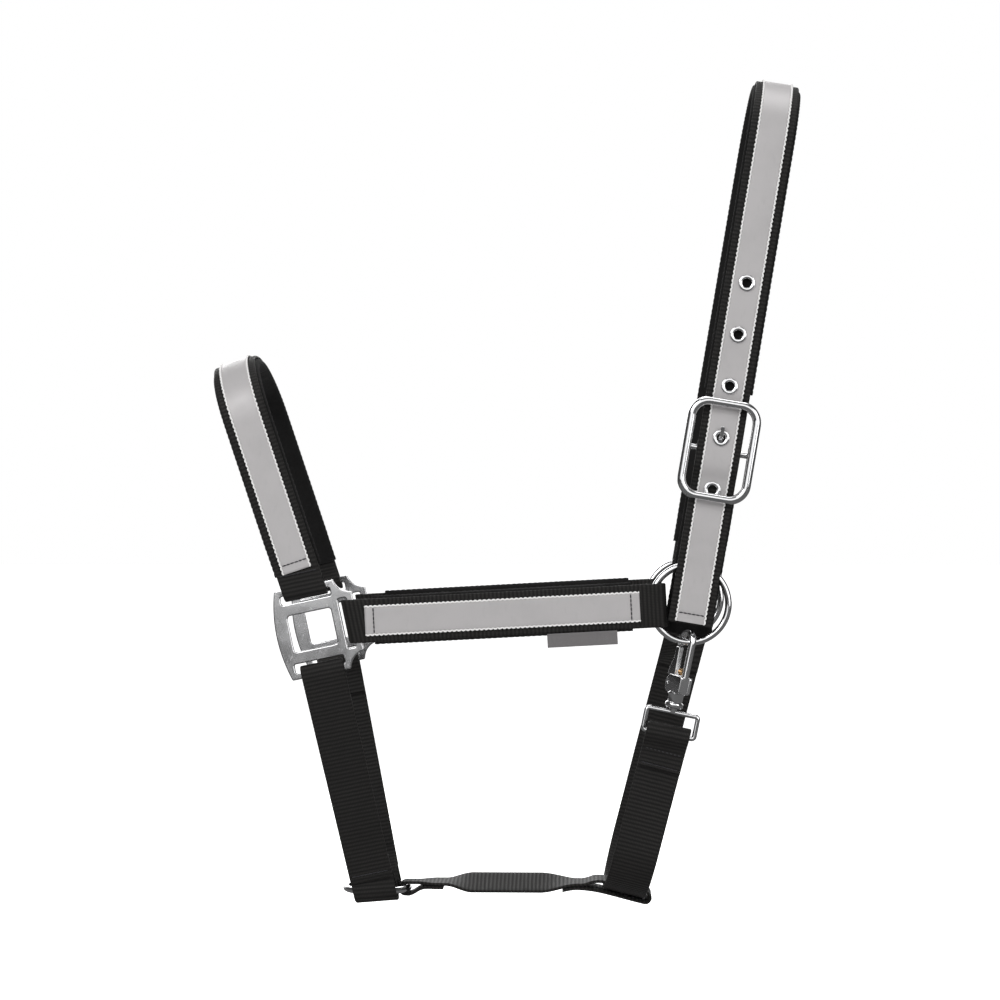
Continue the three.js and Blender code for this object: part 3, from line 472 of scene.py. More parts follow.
def strap(name, line, place, width=WEB_W, a=-WEB_T / 2, b=WEB_T / 2, shear=None, ribs=1.0,
          section=None, turn=None, narrow=None, wave=None, passes=2, step=None, ridges=0.0,
          taper=0.0):
    """A strap, tape or pad along a side profile, from offset a to offset b of the line"""
    s = sizes()
    step = step or s.station
    points, run = spaced(line, step, passes)
    n = normals_of(points)
    lo, hi = value_at(a, points[:, 0]), value_at(b, points[:, 0])
    form = strip_section(width, abs(float(hi[0] - lo[0]))) if section is None else section
    across, height, mask = form[:, 0], form[:, 1], form[:, 2]
    half, middle = (hi - lo) / 2, (hi + lo) / 2
    rib = ribbed(run, s.rib_pitch)
    dent = s.rib_depth * ribs * (1 - rib)
    offset = middle[:, None] + half[:, None] * height[None, :]
    offset -= np.sign(half)[:, None] * np.sign(height)[None, :] * dent[:, None] * mask[None, :]
    if wave is not None:
        offset += np.sign(half)[:, None] * wave(run, across) * (height[None, :] + 1) / 2
    if taper:
        t = np.clip(np.minimum(run, run[-1] - run) / taper, 0.0, 1.0)
        closing = np.sqrt(np.clip(1 - (1 - t) ** 2, 0.06, 1.0))[:, None]
        offset = lo[:, None] + (offset - lo[:, None]) * closing
    waver = 0.006 * ribs * (1 - rib) + ridges * (1 - ribbed(run, s.ridge_pitch)) / (width / 2)
    z = across[None, :] * width / 2 * (1 - waver)[:, None]
    x = points[:, :1] + n[:, :1] * offset
    y = points[:, 1:] + n[:, 1:] * offset
    if shear is not None:
        x = x + z * np.vectorize(shear)(x, y)
    if turn is not None:
        angle, share = np.radians(turn(x)), narrow(x)
        z = z * share
        y, z = y * np.cos(angle) - z * np.sin(angle), y * np.sin(angle) + z * np.cos(angle)
    else:
        z = np.broadcast_to(z, x.shape)
    rings = np.stack([x, y, z], axis=-1)
    girth = np.concatenate([[0], np.cumsum(np.hypot(np.diff(across) * width / 2,
                                                    np.diff(height) * float(abs(half[0]))))])
    uvs = np.stack(np.broadcast_arrays(run[:, None], girth[None, :]), axis=-1)
    return sweep(name, rings, uvs.reshape(-1, 2) / (10 * MM), place)


def tube(name, path, radius, place=None, sides=8, closed=False, flat=None):
    """A round wire or thread along a path in space; radius may be a list, one for each point"""
    p = np.array(path, float)
    r = np.full(len(p), radius) if np.isscalar(radius) else np.array(radius, float)
    if closed:
        t = np.roll(p, -1, axis=0) - np.roll(p, 1, axis=0)
    else:
        t = np.gradient(p, axis=0)
    t /= np.linalg.norm(t, axis=1)[:, None]
    up = np.array(flat if flat is not None else (0, 0, 1), float)
    side = np.cross(t, up)
    weak = np.linalg.norm(side, axis=1) < 1e-3
    side[weak] = np.cross(t[weak], (0, 1, 0.01))
    side /= np.linalg.norm(side, axis=1)[:, None]
    over = np.cross(side, t)
    a = 2 * math.pi * np.arange(sides) / sides
    rings = (p[:, None, :] + r[:, None, None] * (np.cos(a)[None, :, None] * side[:, None, :]
                                                 + np.sin(a)[None, :, None] * over[:, None, :]))
    if not closed:
        run = run_along(p)
        uvs = np.stack(np.broadcast_arrays(run[:, None], (a * r.mean())[None, :]), axis=-1)
        return sweep(name, rings, uvs.reshape(-1, 2) / (10 * MM), place)
    return new_object(name, rings.reshape(-1, 3), tube_faces(len(p), sides), None, place)


def joined(name, objects):
    """Several meshes made one object"""
    bm = bmesh.new()
    for o in objects:
        bm.from_mesh(o.data)
    mesh = bpy.data.meshes.new(name)
    write_mesh(bm, mesh, outward=False)
    for o in objects:
        bpy.data.objects.remove(o)
    mesh.shade_smooth()
    return linked(name, mesh)


def plate(name, outline, holes, thickness, round_edge, place, segments=3):
    """A flat shape with holes, rounded along all its edges, from lists of (x, y)"""
    bm = bmesh.new()
    edges = []
    for line in [outline, *holes]:
        verts = [bm.verts.new((x, y, 0)) for x, y in line]
        edges += [bm.edges.new((verts[i], verts[(i + 1) % len(verts)])) for i in range(len(verts))]
    bmesh.ops.triangle_fill(bm, use_beauty=True, use_dissolve=True, edges=edges)
    mesh = bpy.data.meshes.new(name)
    write_mesh(bm, mesh)
    mesh.shade_smooth()
    obj = linked(name, mesh)
    thick = obj.modifiers.new("Thickness", "SOLIDIFY")
    thick.thickness, thick.offset = thickness, 0
    edge = obj.modifiers.new("Edges", "BEVEL")
    edge.width, edge.segments = round_edge, segments
    edge.limit_method, edge.angle_limit = "ANGLE", rad(50)
    edge.use_clamp_overlap = True
    normals = obj.modifiers.new("Flat faces", "WEIGHTED_NORMAL")
    normals.keep_sharp, normals.weight = True, 90
    apply_modifiers(obj)
    obj.data.transform(place)
    return obj


def seam(place, spot, reach, facing, lift, skew=0.0):
    """Stitches in a row across a strap: capsules of thread from -reach to reach"""
    s = sizes()
    count = max(2, round(2 * reach / (s.stitch_length * 1.12)))
    pitch = 2 * reach / count
    made = []
    for i in range(count):
        z = -reach + pitch * (i + 0.5)
        w = np.linspace(-0.5, 0.5, 7)
        bow = s.thread_width * 0.5 * (np.cos(math.pi * w) - 0.35)
        path = [(spot[0] + skew * (z + q * s.stitch_length), spot[1] + facing * (lift + h),
                 z + q * s.stitch_length) for q, h in zip(w, bow)]
        radius = [s.thread_width / 2 * (0.45 + 0.55 * math.cos(math.pi * q * 0.9)) for q in w]
        made.append(tube("stitch", path, radius, place, 7, flat=(1, 0, 0)))
    return made


def edge_cords(line, place, width, a, facing):
    """Scalloped yarn along both edges of a tape"""
    s = sizes()
    points, run = spaced(line, s.scallop_pitch / 6)
    n = normals_of(points)
    made = []
    for sign in (-1, 1):
        beat = np.abs(np.sin(math.pi * run / s.scallop_pitch + (0.3 if sign > 0 else 0)))
        z = sign * (width / 2 - 0.75 * MM + 0.55 * MM * beat)
        off = facing * (abs(a) + 0.10 * MM + 0.12 * MM * beat)
        path = np.column_stack([points[:, 0] + n[:, 0] * off, points[:, 1] + n[:, 1] * off, z])
        made.append(tube("cord", path, 0.34 * MM + 0.20 * MM * beat, place, 7, flat=(0, 0, 1)))
    return made


# ---------------------------------------------------------------- shared shader groups

def node_group(name, inputs, outputs):
    """An empty shader group with named sockets: (name, kind, default)"""
    tree = bpy.data.node_groups.new(name, "ShaderNodeTree")
    for label, kind, value in inputs:
        socket = tree.interface.new_socket(name=label, in_out="INPUT", socket_type=kind)
        if value is not None:
            socket.default_value = value
    for label, kind in outputs:
        tree.interface.new_socket(name=label, in_out="OUTPUT", socket_type=kind)
    return tree, tree.nodes.new("NodeGroupInput"), tree.nodes.new("NodeGroupOutput")


class Wiring:
    """Short ways to add nodes to one tree"""

    def __init__(self, tree):
        self.tree = tree

    def link(self, value, socket):
        if isinstance(value, bpy.types.NodeSocket):
            self.tree.links.new(value, socket)
        else:
            socket.default_value = value

    def node(self, kind, inputs=None, **settings):
        made = self.tree.nodes.new(kind)
        for key, value in settings.items():
            setattr(made, key, value)
        for key, value in (inputs or {}).items():
            self.link(value, made.inputs[key])
        return made

    def math(self, operation, a, b=0.0, c=0.0, clamp=False):
        return self.node("ShaderNodeMath", {0: a, 1: b, 2: c}, operation=operation,
                         use_clamp=clamp).outputs[0]

    def times(self, a, b):
        return self.math("MULTIPLY", a, b)

    def plus(self, a, b):
        return self.math("ADD", a, b)

    def mix(self, share, a, b):
        made = self.tree.nodes.new("ShaderNodeMix")
        made.data_type = "RGBA"
        self.link(share, made.inputs[0])
        self.link(a, made.inputs[6])
        self.link(b, made.inputs[7])
        return made.outputs[2]

    def noise(self, scale, detail=4.0, roughness=0.55, vector=None):
        inputs = {"Scale": scale, "Detail": detail, "Roughness": roughness}
        if vector is not None:
            inputs["Vector"] = vector
        return self.node("ShaderNodeTexNoise", inputs).outputs["Fac"]

    def remap(self, value, low, high, to_low=0.0, to_high=1.0):
        return self.node("ShaderNodeMapRange", {0: value, 1: low, 2: high, 3: to_low,
                                                4: to_high}).outputs[0]

    def object_point(self):
        return self.node("ShaderNodeTexCoord").outputs["Object"]


def build_weave():
    """Woven cloth: crossing yarns along and across a strap, from its cloth map"""
    tree, start, end = node_group(
        "Woven yarns",
        [("Along", "NodeSocketFloat", 1.0), ("Across", "NodeSocketFloat", 1.0),
         ("Irregularity", "NodeSocketFloat", 0.25)],
        [("Height", "NodeSocketFloat"), ("Crest", "NodeSocketFloat")])
    w = Wiring(tree)
    cloth = w.node("ShaderNodeUVMap", uv_map="Cloth").outputs[0]
    wander = w.noise(1.6, 3, 0.5, cloth)
    parts = w.node("ShaderNodeSeparateXYZ", {0: cloth})
    drift = w.times(w.math("SUBTRACT", wander, 0.5), start.outputs["Irregularity"])
    u = w.times(w.plus(parts.outputs[0], drift), start.outputs["Along"])
    v = w.times(w.plus(parts.outputs[1], drift), start.outputs["Across"])
    ridge = w.math("ABSOLUTE", w.math("SINE", w.times(u, math.pi)))
    yarn = w.math("ABSOLUTE", w.math("SINE", w.times(v, math.pi)))
    crossing = w.times(ridge, yarn)
    height = w.plus(w.times(ridge, 0.45), w.times(crossing, 0.55))
    tree.links.new(height, end.inputs["Height"])
    tree.links.new(w.math("POWER", height, 2.2), end.inputs["Crest"])
    return tree


def build_fuzz():
    """Short raised fibres: clumps, single fibres and lint"""
    tree, start, end = node_group(
        "Cloth fuzz",
        [("Clump size", "NodeSocketFloat", 900.0), ("Fibre size", "NodeSocketFloat", 5200.0)],
        [("Height", "NodeSocketFloat"), ("Lint", "NodeSocketFloat")])
    w = Wiring(tree)
    at = w.object_point()
    clump = w.noise(start.outputs["Clump size"], 5, 0.65, at)
    fibre = w.noise(start.outputs["Fibre size"], 3, 0.7, at)
    height = w.plus(w.times(clump, 0.6), w.times(fibre, 0.4))
    lint = w.remap(w.noise(2600.0, 2, 0.5, at), 0.68, 0.8)
    tree.links.new(height, end.inputs["Height"])
    tree.links.new(lint, end.inputs["Lint"])
    return tree


def build_wear_and_highlight():
    """Handling marks: fine scratches and faint smudges; and sharp convex edges, which the metal
    colours brighter as a painted highlight
    """
    tree, start, end = node_group(
        "Handling wear",
        [("Scratch size", "NodeSocketFloat", 900.0), ("Smudge size", "NodeSocketFloat", 70.0),
         ("Edge sharpness", "NodeSocketFloat", 0.06)],
        [(label, "NodeSocketFloat") for label in ("Scratches", "Smudges", "Edges")])
    w = Wiring(tree)
    at = w.object_point()
    stretched = w.node("ShaderNodeMapping", {"Vector": at, "Scale": (1.0, 9.0, 0.35),
                                             "Rotation": (0.4, 0.9, 0.2)}).outputs[0]
    scratch = w.remap(w.noise(start.outputs["Scratch size"], 2, 0.5, stretched), 0.60, 0.72)
    smudge = w.remap(w.noise(start.outputs["Smudge size"], 5, 0.6, at), 0.42, 0.72)
    # Sharp convex edges: the mask for the metal's painted edge highlight
    point = w.node("ShaderNodeNewGeometry").outputs["Pointiness"]
    edges = w.remap(w.math("SUBTRACT", point, 0.5), 0.0, start.outputs["Edge sharpness"])
    for label, value in (("Scratches", scratch), ("Smudges", smudge), ("Edges", edges)):
        tree.links.new(value, end.inputs[label])
    return tree


# ---------------------------------------------------------------- materials

GROUP_MAKERS = {"Woven yarns": build_weave, "Cloth fuzz": build_fuzz, "Handling wear": build_wear_and_highlight}


def place_group(w, name, **values):
    tree = bpy.data.node_groups.get(name) or GROUP_MAKERS[name]()
    made = w.node("ShaderNodeGroup", node_tree=tree)
    for label, value in values.items():
        made.inputs[label.replace("_", " ")].default_value = value
    return made


def new_material(name):
    material = bpy.data.materials.new(name)
    material.use_nodes = True
    return material, Wiring(material.node_tree), material.node_tree.nodes["Principled BSDF"]


def rgba(value, share=1.0):
    return (*(min(1.0, share * q) for q in value), 1.0)


def set_inputs(w, shader, **values):
    """Links or sets the shader's own sockets"""
    for label, value in values.items():
        w.link(value, shader.inputs[label.replace("_", " ")])


def bump(w, shader, height, depth, strength=1.0):
    made = w.node("ShaderNodeBump", {"Height": height, "Distance": depth, "Strength": strength})
    w.link(made.outputs[0], shader.inputs["Normal"])


def webbing_material():
    c = colours()
    material, w, shader = new_material("Nylon webbing")
    yarns = place_group(w, "Woven yarns", Along=4.35, Across=11.0, Irregularity=0.05)
    fuzz = place_group(w, "Cloth fuzz", Clump_size=1300.0, Fibre_size=6400.0)
    shade = w.remap(w.noise(55.0, 4, 0.6, w.object_point()), 0.3, 0.75, 0.0, 1.0)
    # Painted highlight: the rib crests are coloured lighter than the grooves, as where light
    # catches them
    base = w.mix(yarns.outputs["Crest"], rgba(c.webbing), rgba(c.webbing_crest_highlight))
    base = w.mix(w.times(shade, 0.35), base, rgba(c.webbing, 0.75))
    base = w.mix(w.times(fuzz.outputs["Lint"], 0.25), base, (0.10, 0.10, 0.10, 1))
    set_inputs(w, shader, Base_Color=base)
    rough = w.remap(yarns.outputs["Crest"], 0.0, 1.0, 0.78, 0.55)
    set_inputs(w, shader, Roughness=rough)
    set_inputs(w, shader, Sheen_Weight=0.02, Sheen_Roughness=0.5, Specular_IOR_Level=0.28)
    height = w.plus(w.times(yarns.outputs["Height"], 0.8),
                    w.times(fuzz.outputs["Height"], 0.2))
    bump(w, shader, height, 0.16 * MM, 0.8)
    return material


def padding_material():
    c = colours()
    material, w, shader = new_material("Soft padding")
    fuzz = place_group(w, "Cloth fuzz", Clump_size=620.0, Fibre_size=4200.0)
    broad = w.remap(w.noise(60.0, 4, 0.6, w.object_point()), 0.3, 0.7)
    base = w.mix(broad, rgba(c.padding), rgba(c.padding, 1.7))
    base = w.mix(w.times(fuzz.outputs["Lint"], 0.35), base, (0.075, 0.073, 0.072, 1))
    set_inputs(w, shader, Base_Color=base)
    set_inputs(w, shader, Roughness=w.remap(fuzz.outputs["Height"], 0.3, 0.7, 0.86, 1.0))
    set_inputs(w, shader, Sheen_Weight=0.04, Sheen_Roughness=0.7, Specular_IOR_Level=0.2)
    bump(w, shader, fuzz.outputs["Height"], 0.5 * MM, 0.9)
    return material


def tape_material():
    c = colours()
    material, w, shader = new_material("Reflective tape")
    yarns = place_group(w, "Woven yarns", Along=26.0, Across=26.0, Irregularity=0.02)
    wear_and_highlight = place_group(w, "Handling wear", Scratch_size=420.0, Smudge_size=45.0,
                       Edge_sharpness=0.05)
    beads = w.remap(w.noise(9000.0, 2, 0.5, w.object_point()), 0.35, 0.65)
    tone = w.mix(w.times(wear_and_highlight.outputs["Smudges"], 0.35), rgba(c.tape),
                 rgba(c.tape, 0.82))
    tone = w.mix(w.times(beads, 0.14), tone, rgba(c.tape, 1.35))
    tone = w.mix(w.times(wear_and_highlight.outputs["Scratches"], 0.12), tone,
                 rgba(c.tape, 0.7))
    set_inputs(w, shader, Base_Color=tone)
    set_inputs(w, shader, Roughness=w.remap(wear_and_highlight.outputs["Smudges"], 0.0, 1.0, 0.42, 0.58))
    set_inputs(w, shader, Metallic=0.18, Specular_IOR_Level=0.5)
    height = w.plus(w.times(yarns.outputs["Height"], 0.7),
                    w.times(beads, 0.3))
    bump(w, shader, height, 0.04 * MM, 0.6)
    return material


def yarn_material(name, tone, roughness):
    material, w, shader = new_material(name)
    fuzz = place_group(w, "Cloth fuzz", Clump_size=2400.0, Fibre_size=9000.0)
    base = w.mix(fuzz.outputs["Height"], rgba(tone, 0.72), rgba(tone))
    set_inputs(w, shader, Base_Color=base)
    w.link(w.remap(fuzz.outputs["Height"], 0.3, 0.7, roughness, roughness + 0.15),
           shader.inputs["Roughness"])
    set_inputs(w, shader, Sheen_Weight=0.15)
    bump(w, shader, fuzz.outputs["Height"], 0.10 * MM, 0.8)
    return material


def metal_material(name, tone, shine, brushed=0.12):
    material, w, shader = new_material(name)
    wear_and_highlight = place_group(w, "Handling wear", Scratch_size=1100.0, Smudge_size=85.0,
                       Edge_sharpness=0.08)
    base = w.mix(w.times(wear_and_highlight.outputs["Smudges"], 0.25), rgba(tone),
                 rgba(tone, 0.86))
    # Painted highlight: sharp convex edges are coloured lighter than the plating
    base = w.mix(w.times(wear_and_highlight.outputs["Edges"], 0.4), base,
                 rgba(tone, 1.12))
    set_inputs(w, shader, Base_Color=base)
    rough = w.plus(w.remap(wear_and_highlight.outputs["Smudges"], 0.0, 1.0, shine, shine + 0.07),
                   w.times(wear_and_highlight.outputs["Scratches"], brushed))
    set_inputs(w, shader, Roughness=rough)
    set_inputs(w, shader, Metallic=1.0)
    pits = w.noise(2600.0, 3, 0.6, w.object_point())
    height = w.math("SUBTRACT", w.times(pits, 0.35),
                    w.times(wear_and_highlight.outputs["Scratches"], 0.5))
    bump(w, shader, height, 0.012 * MM, 0.5)
    return material


def label_material():
    c = colours()
    material, w, shader = new_material("Satin ribbon")
    yarns = place_group(w, "Woven yarns", Along=38.0, Across=22.0, Irregularity=0.02)
    # Painted sheen and shade: the weave's crests are coloured lighter and its grooves darker than
    # the ribbon's own colour
    base = w.mix(yarns.outputs["Crest"], rgba(c.label, 0.7), rgba(c.label, 1.3))
    set_inputs(w, shader, Base_Color=base)
    set_inputs(w, shader, Roughness=w.remap(yarns.outputs["Crest"], 0.0, 1.0, 0.55, 0.36))
    set_inputs(w, shader, Sheen_Weight=0.2)
    bump(w, shader, yarns.outputs["Height"], 0.05 * MM, 0.6)
    return material


def stage_material():
    c = colours()
    material, w, shader = new_material("Pale floor")
    speck = w.noise(30.0, 4, 0.5, w.object_point())
    path = w.node("ShaderNodeLightPath")
    pale = w.mix(speck, rgba(c.floor, 0.99), rgba(c.floor))
    # Painted reflection: rays bounced off glossy surfaces see the floor dark grey, so the metal
    # mirrors a dark floor
    painted_reflection_tone = (0.12, 0.12, 0.12, 1)
    set_inputs(w, shader, Base_Color=w.mix(path.outputs["Is Glossy Ray"], pale, painted_reflection_tone))
    w.link(w.mix(path.outputs["Is Camera Ray"], (0, 0, 0, 1), (1, 1, 1, 1)),
           shader.inputs["Emission Color"])
    set_inputs(w, shader, Roughness=0.9, Specular_IOR_Level=0.1, Emission_Strength=0.8)
    return material


FINISHES = {
    "webbing": webbing_material,
    "padding": padding_material,
    "tape": tape_material,
    "yarn": lambda: yarn_material("Edge yarn", colours().yarn, 0.6),
    "thread": lambda: yarn_material("Dark thread", colours().thread, 0.5),
    "chrome": lambda: metal_material("Bright plating", colours().chrome, 0.07),
    "satin": lambda: metal_material("Plated casting", [0.93 * q for q in colours().chrome], 0.14),
    "brass": lambda: metal_material("Spring wire", colours().brass, 0.2),
    "label": label_material,
    "floor": stage_material,
}
made_finishes = {}


def finish_of(key):
    if key not in made_finishes:
        made_finishes[key] = FINISHES[key]()
    return made_finishes[key]


# ---------------------------------------------------------------- soft pieces

def uneven(seed):
    """A pad's slow wavering, always inwards, the same at each run"""
    phase = np.random.default_rng(seed).uniform(0, 2 * math.pi, 3)
    depth = sizes().pad_unevenness

    def wave(run, across):
        r, v = run[:, None] * 2 * math.pi, across[None, :]
        swell = (0.5 * np.sin(r / (31 * MM) + phase[0] + 1.1 * v)
                 + 0.3 * np.sin(r / (12.7 * MM) + phase[1] - 2.3 * v)
                 + 0.2 * np.sin(r / (6.1 * MM) + phase[2] + 3.7 * v))
        return depth * (swell - 1)
    return wave


def make_webbing(name, line, place, body="straps", **options):
    obj = strap(name, line, place, **options)
    return finish_piece(obj, body, "webbing", "webbing", name)


def make_pad(name, line, place, a, b, seed, width=PAD_W):
    obj = strap(name, line, place, width, a, b, ribs=0, section=pad_section(), wave=uneven(seed),
                step=0.8 * MM, ridges=0.32 * MM, taper=3.2 * MM)
    finish_piece(obj, "straps", "padding", "padding", name)
    return obj


def make_tape(name, line, place, a, b, facing):
    """A tape and the scalloped yarn along its edges; facing is the outer face's direction"""
    obj = strap(name, line, place, TAPE_W - 0.9 * MM, a, b, ribs=0, step=1.2 * MM)
    finish_piece(obj, "straps", "reflective_tape", "tape", name)
    outer = a if abs(a) > abs(b) else b
    cords = joined(f"{name}_edges", edge_cords(line, place, TAPE_W, outer, facing))
    finish_piece(cords, "straps", "reflective_tape", "yarn")
    return obj


def make_seam(name, rows):
    """One piece from several rows of stitches"""
    cords = [stitch for row in rows for stitch in row]
    return finish_piece(joined(name, cords), "straps", "webbing", "thread")


TAPE_LIFT = TAPE_OFF + TAPE_T + 0.1 * MM
WEB_LIFT = WEB_T / 2 + 0.05 * MM
TAPE_SEAM = TAPE_W / 2 - 1.2 * MM
WEB_SEAM = WEB_W / 2 - 2 * MM


class HEADCOLLAR_OT_noseband(bpy.types.Operator):
    """Noseband: webbing over the nose, its padding, tape and sewn ends"""
    bl_idname = "headcollar.noseband"
    bl_label = "Noseband"

    def execute(self, context):
        place = side_frame(on_square(0, RIM_UP), NOSE_LEAN)
        skew = math.tan(rad(-SQUARE_TILT - NOSE_LEAN))
        shoulder = NOSE_TOP - NOSE_ARCH

        def legs(start):
            return (straight((start, -OUT), (shoulder, -OUT))[:-1]
                    + arch(shoulder, -OUT, OUT, NOSE_ARCH)
                    + straight((shoulder, OUT), (start, OUT))[1:])

        line = (fold(0, -HALF, 1, -1, RIM_OVER) + legs(TAIL_RISE)
                + fold(0, HALF, 1, 1, RIM_OVER)[::-1])
        make_webbing("noseband_webbing", line, place,
                     shear=lambda x, y: skew * fade_out(x))
        covered = TAIL_RISE + 2 * MM
        inner = over_tails(TAPE_OFF, (TAIL_RISE + TAIL, 1))
        make_pad("noseband_pad", legs(covered), place, inner, TAPE_OFF + LAYER + PAD_T, 3)
        make_tape("noseband_tape", legs(covered), place, -TAPE_OFF - TAPE_T, -TAPE_OFF, -1)
        rows = []
        for side in (-1, 1):
            rows.append(seam(place, (covered + 5 * MM, side * OUT), TAPE_SEAM, side, TAPE_LIFT))
            rows.append(seam(place, (TAIL_RISE + 0.5 * MM, side * OUT), WEB_SEAM, side, WEB_LIFT,
                             skew))
        make_seam("noseband_stitching", rows)
        return {"FINISHED"}


def cheek_line():
    origin = on_square(RIM_SIDE, 0)
    lean = lean_of(origin, RING_AT)
    return origin, lean, ring_fit(origin, lean, RING_AT, RING_R, -1)


class HEADCOLLAR_OT_cheekpieces(bpy.types.Operator):
    """Cheekpieces: webbing from each square to its ring, with padding and tape"""
    bl_idname = "headcollar.cheekpieces"
    bl_label = "Cheekpieces"

    def execute(self, context):
        for name, side in SIDES:
            origin, lean, (end, ring_skew, over) = cheek_line()
            place = side_frame(origin, lean)
            square_skew = math.tan(rad(90 - SQUARE_TILT - lean))
            line = (fold(0, side * HALF, 1, side, RIM_OVER)
                    + straight((TAIL_RISE, side * OUT), (end - TAIL_RISE, side * OUT))
                    + fold(end, side * HALF, -1, side, over)[::-1])

            def shear(x, y):
                return (square_skew * fade_out(x)
                        + ring_skew * fade_in(x, end))

            def cover(margin):
                return straight((margin, side * OUT), (end - margin, side * OUT))

            reach = TAIL_RISE + TAIL
            inner = over_tails(TAPE_OFF, (reach, 1), (end - reach, -1))
            make_webbing(f"{name}_cheek_webbing", line, place, shear=shear)
            make_pad(f"{name}_cheek_pad", cover(TAIL_RISE + 2 * MM), place,
                     lambda x: -side * inner(x), -side * (TAPE_OFF + LAYER + PAD_T), 11 + side)
            a, b = side * TAPE_OFF, side * (TAPE_OFF + TAPE_T)
            first = LOOP_R + 3 * MM
            make_tape(f"{name}_cheek_tape", cover(first), place, min(a, b), max(a, b), side)
            rows = [seam(place, (x, side * OUT), TAPE_SEAM, side, TAPE_LIFT)
                    for x in (first + 5 * MM, end - first - 5 * MM)]
            make_seam(f"{name}_cheek_stitching", rows)
        return {"FINISHED"}


class HEADCOLLAR_OT_label(bpy.types.Operator):
    """Ribbon label caught under the near cheekpiece, left plain"""
    bl_idname = "headcollar.label"
    bl_label = "Label"

    def execute(self, context):
        origin, lean, (end, _, _) = cheek_line()
        length, height, thickness = mm(40, 8, 0.7)
        last = end - 20 * MM
        drop = WEB_W / 2 + GAP + height / 2
        place = side_frame(origin, lean) @ Matrix.Translation((0, 0, -drop))
        obj = strap("label_tab", straight((last - length, -OUT), (last, -OUT)), place, height,
                    -thickness / 2, thickness / 2, ribs=0.25)
        finish_piece(obj, "straps", "label_ribbon", "label", "label_tab")
        return {"FINISHED"}


class HEADCOLLAR_OT_chin_straps(bpy.types.Operator):
    """Chin straps: webbing down from each square, and the short loops that hold the chin ring"""
    bl_idname = "headcollar.chin_straps"
    bl_label = "Chin straps"

    def execute(self, context):
        rim = on_square(CHIN_SLOT_SHIFT, -RIM_UP)
        lean = lean_of(CHIN_RING_AT, rim)
        place = side_frame(CHIN_RING_AT, lean)
        top = in_frame(CHIN_RING_AT, lean, rim)[0]
        foot = CHIN_R + LOOP_R + LAYER
        slope = (OUT - foot) / (top - CHIN_STRAP_END)
        skew = math.tan(rad(-SQUARE_TILT - lean))
        tilt = math.hypot(1, slope)
        tops = CHIN_STRAP_END + TAIL
        lift = WIRE / 2 + 1.7 * MM
        outside = CHIN_R + LOOP_R
        inside = (math.sqrt((CHIN_R - WIRE / 2) ** 2 - (WEB_W / 2 + 1 * MM) ** 2) - GAP - WEB_T / 2)
        middle, reach = (outside + inside) / 2, (outside - inside) / 2
        level = math.tan(rad(-lean)) * CHIN_LOOP_LEVEL
        for name, side in SIDES:
            def leg(x, layer):
                down = foot + slope * (x - CHIN_STRAP_END - 2 * MM)
                return x, side * (down - layer * LAYER * tilt)

            low = (CHIN_STRAP_END, side * (foot - slope * 2 * MM))
            high = (top - TAIL_RISE, side * (OUT - slope * (TAIL_RISE - 2 * MM)))
            line = (fold(top, side * HALF, -1, side, RIM_OVER, TAIL, -side * slope)
                    + straight(high, low))
            make_webbing(f"{name}_chin_strap", line, place, shear=lambda x, y:
                         skew * fade_in(x, top))
            points = [leg(tops, 1), leg(CHIN_STRAP_END - 2 * MM, 1),
                      (lift, side * (middle + reach))]
            for i in range(11):
                a = math.pi * i / 10
                points.append((-(lift + WEB_T) * math.sin(a),
                               side * (middle + reach * math.cos(a))))
            points += [(lift, side * (middle - reach)), leg(CHIN_STRAP_END + 6 * MM, 2),
                       leg(tops, 2)]
            make_webbing(f"{name}_chin_loop", points, place, shear=lambda x, y:
                         level * (1 - float(smooth((x - lift) / (CHIN_STRAP_END - lift)))))
            rows = []
            for x in (CHIN_STRAP_END + 3.5 * MM, top - TAIL_RISE - 1 * MM,
                      top - TAIL_RISE - 9 * MM):
                y = side * (foot + slope * (x - CHIN_STRAP_END - 2 * MM))
                rows.append(seam(place, (x, y), WEB_SEAM, side, WEB_LIFT))
            make_seam(f"{name}_chin_stitching", rows)
        return {"FINISHED"}


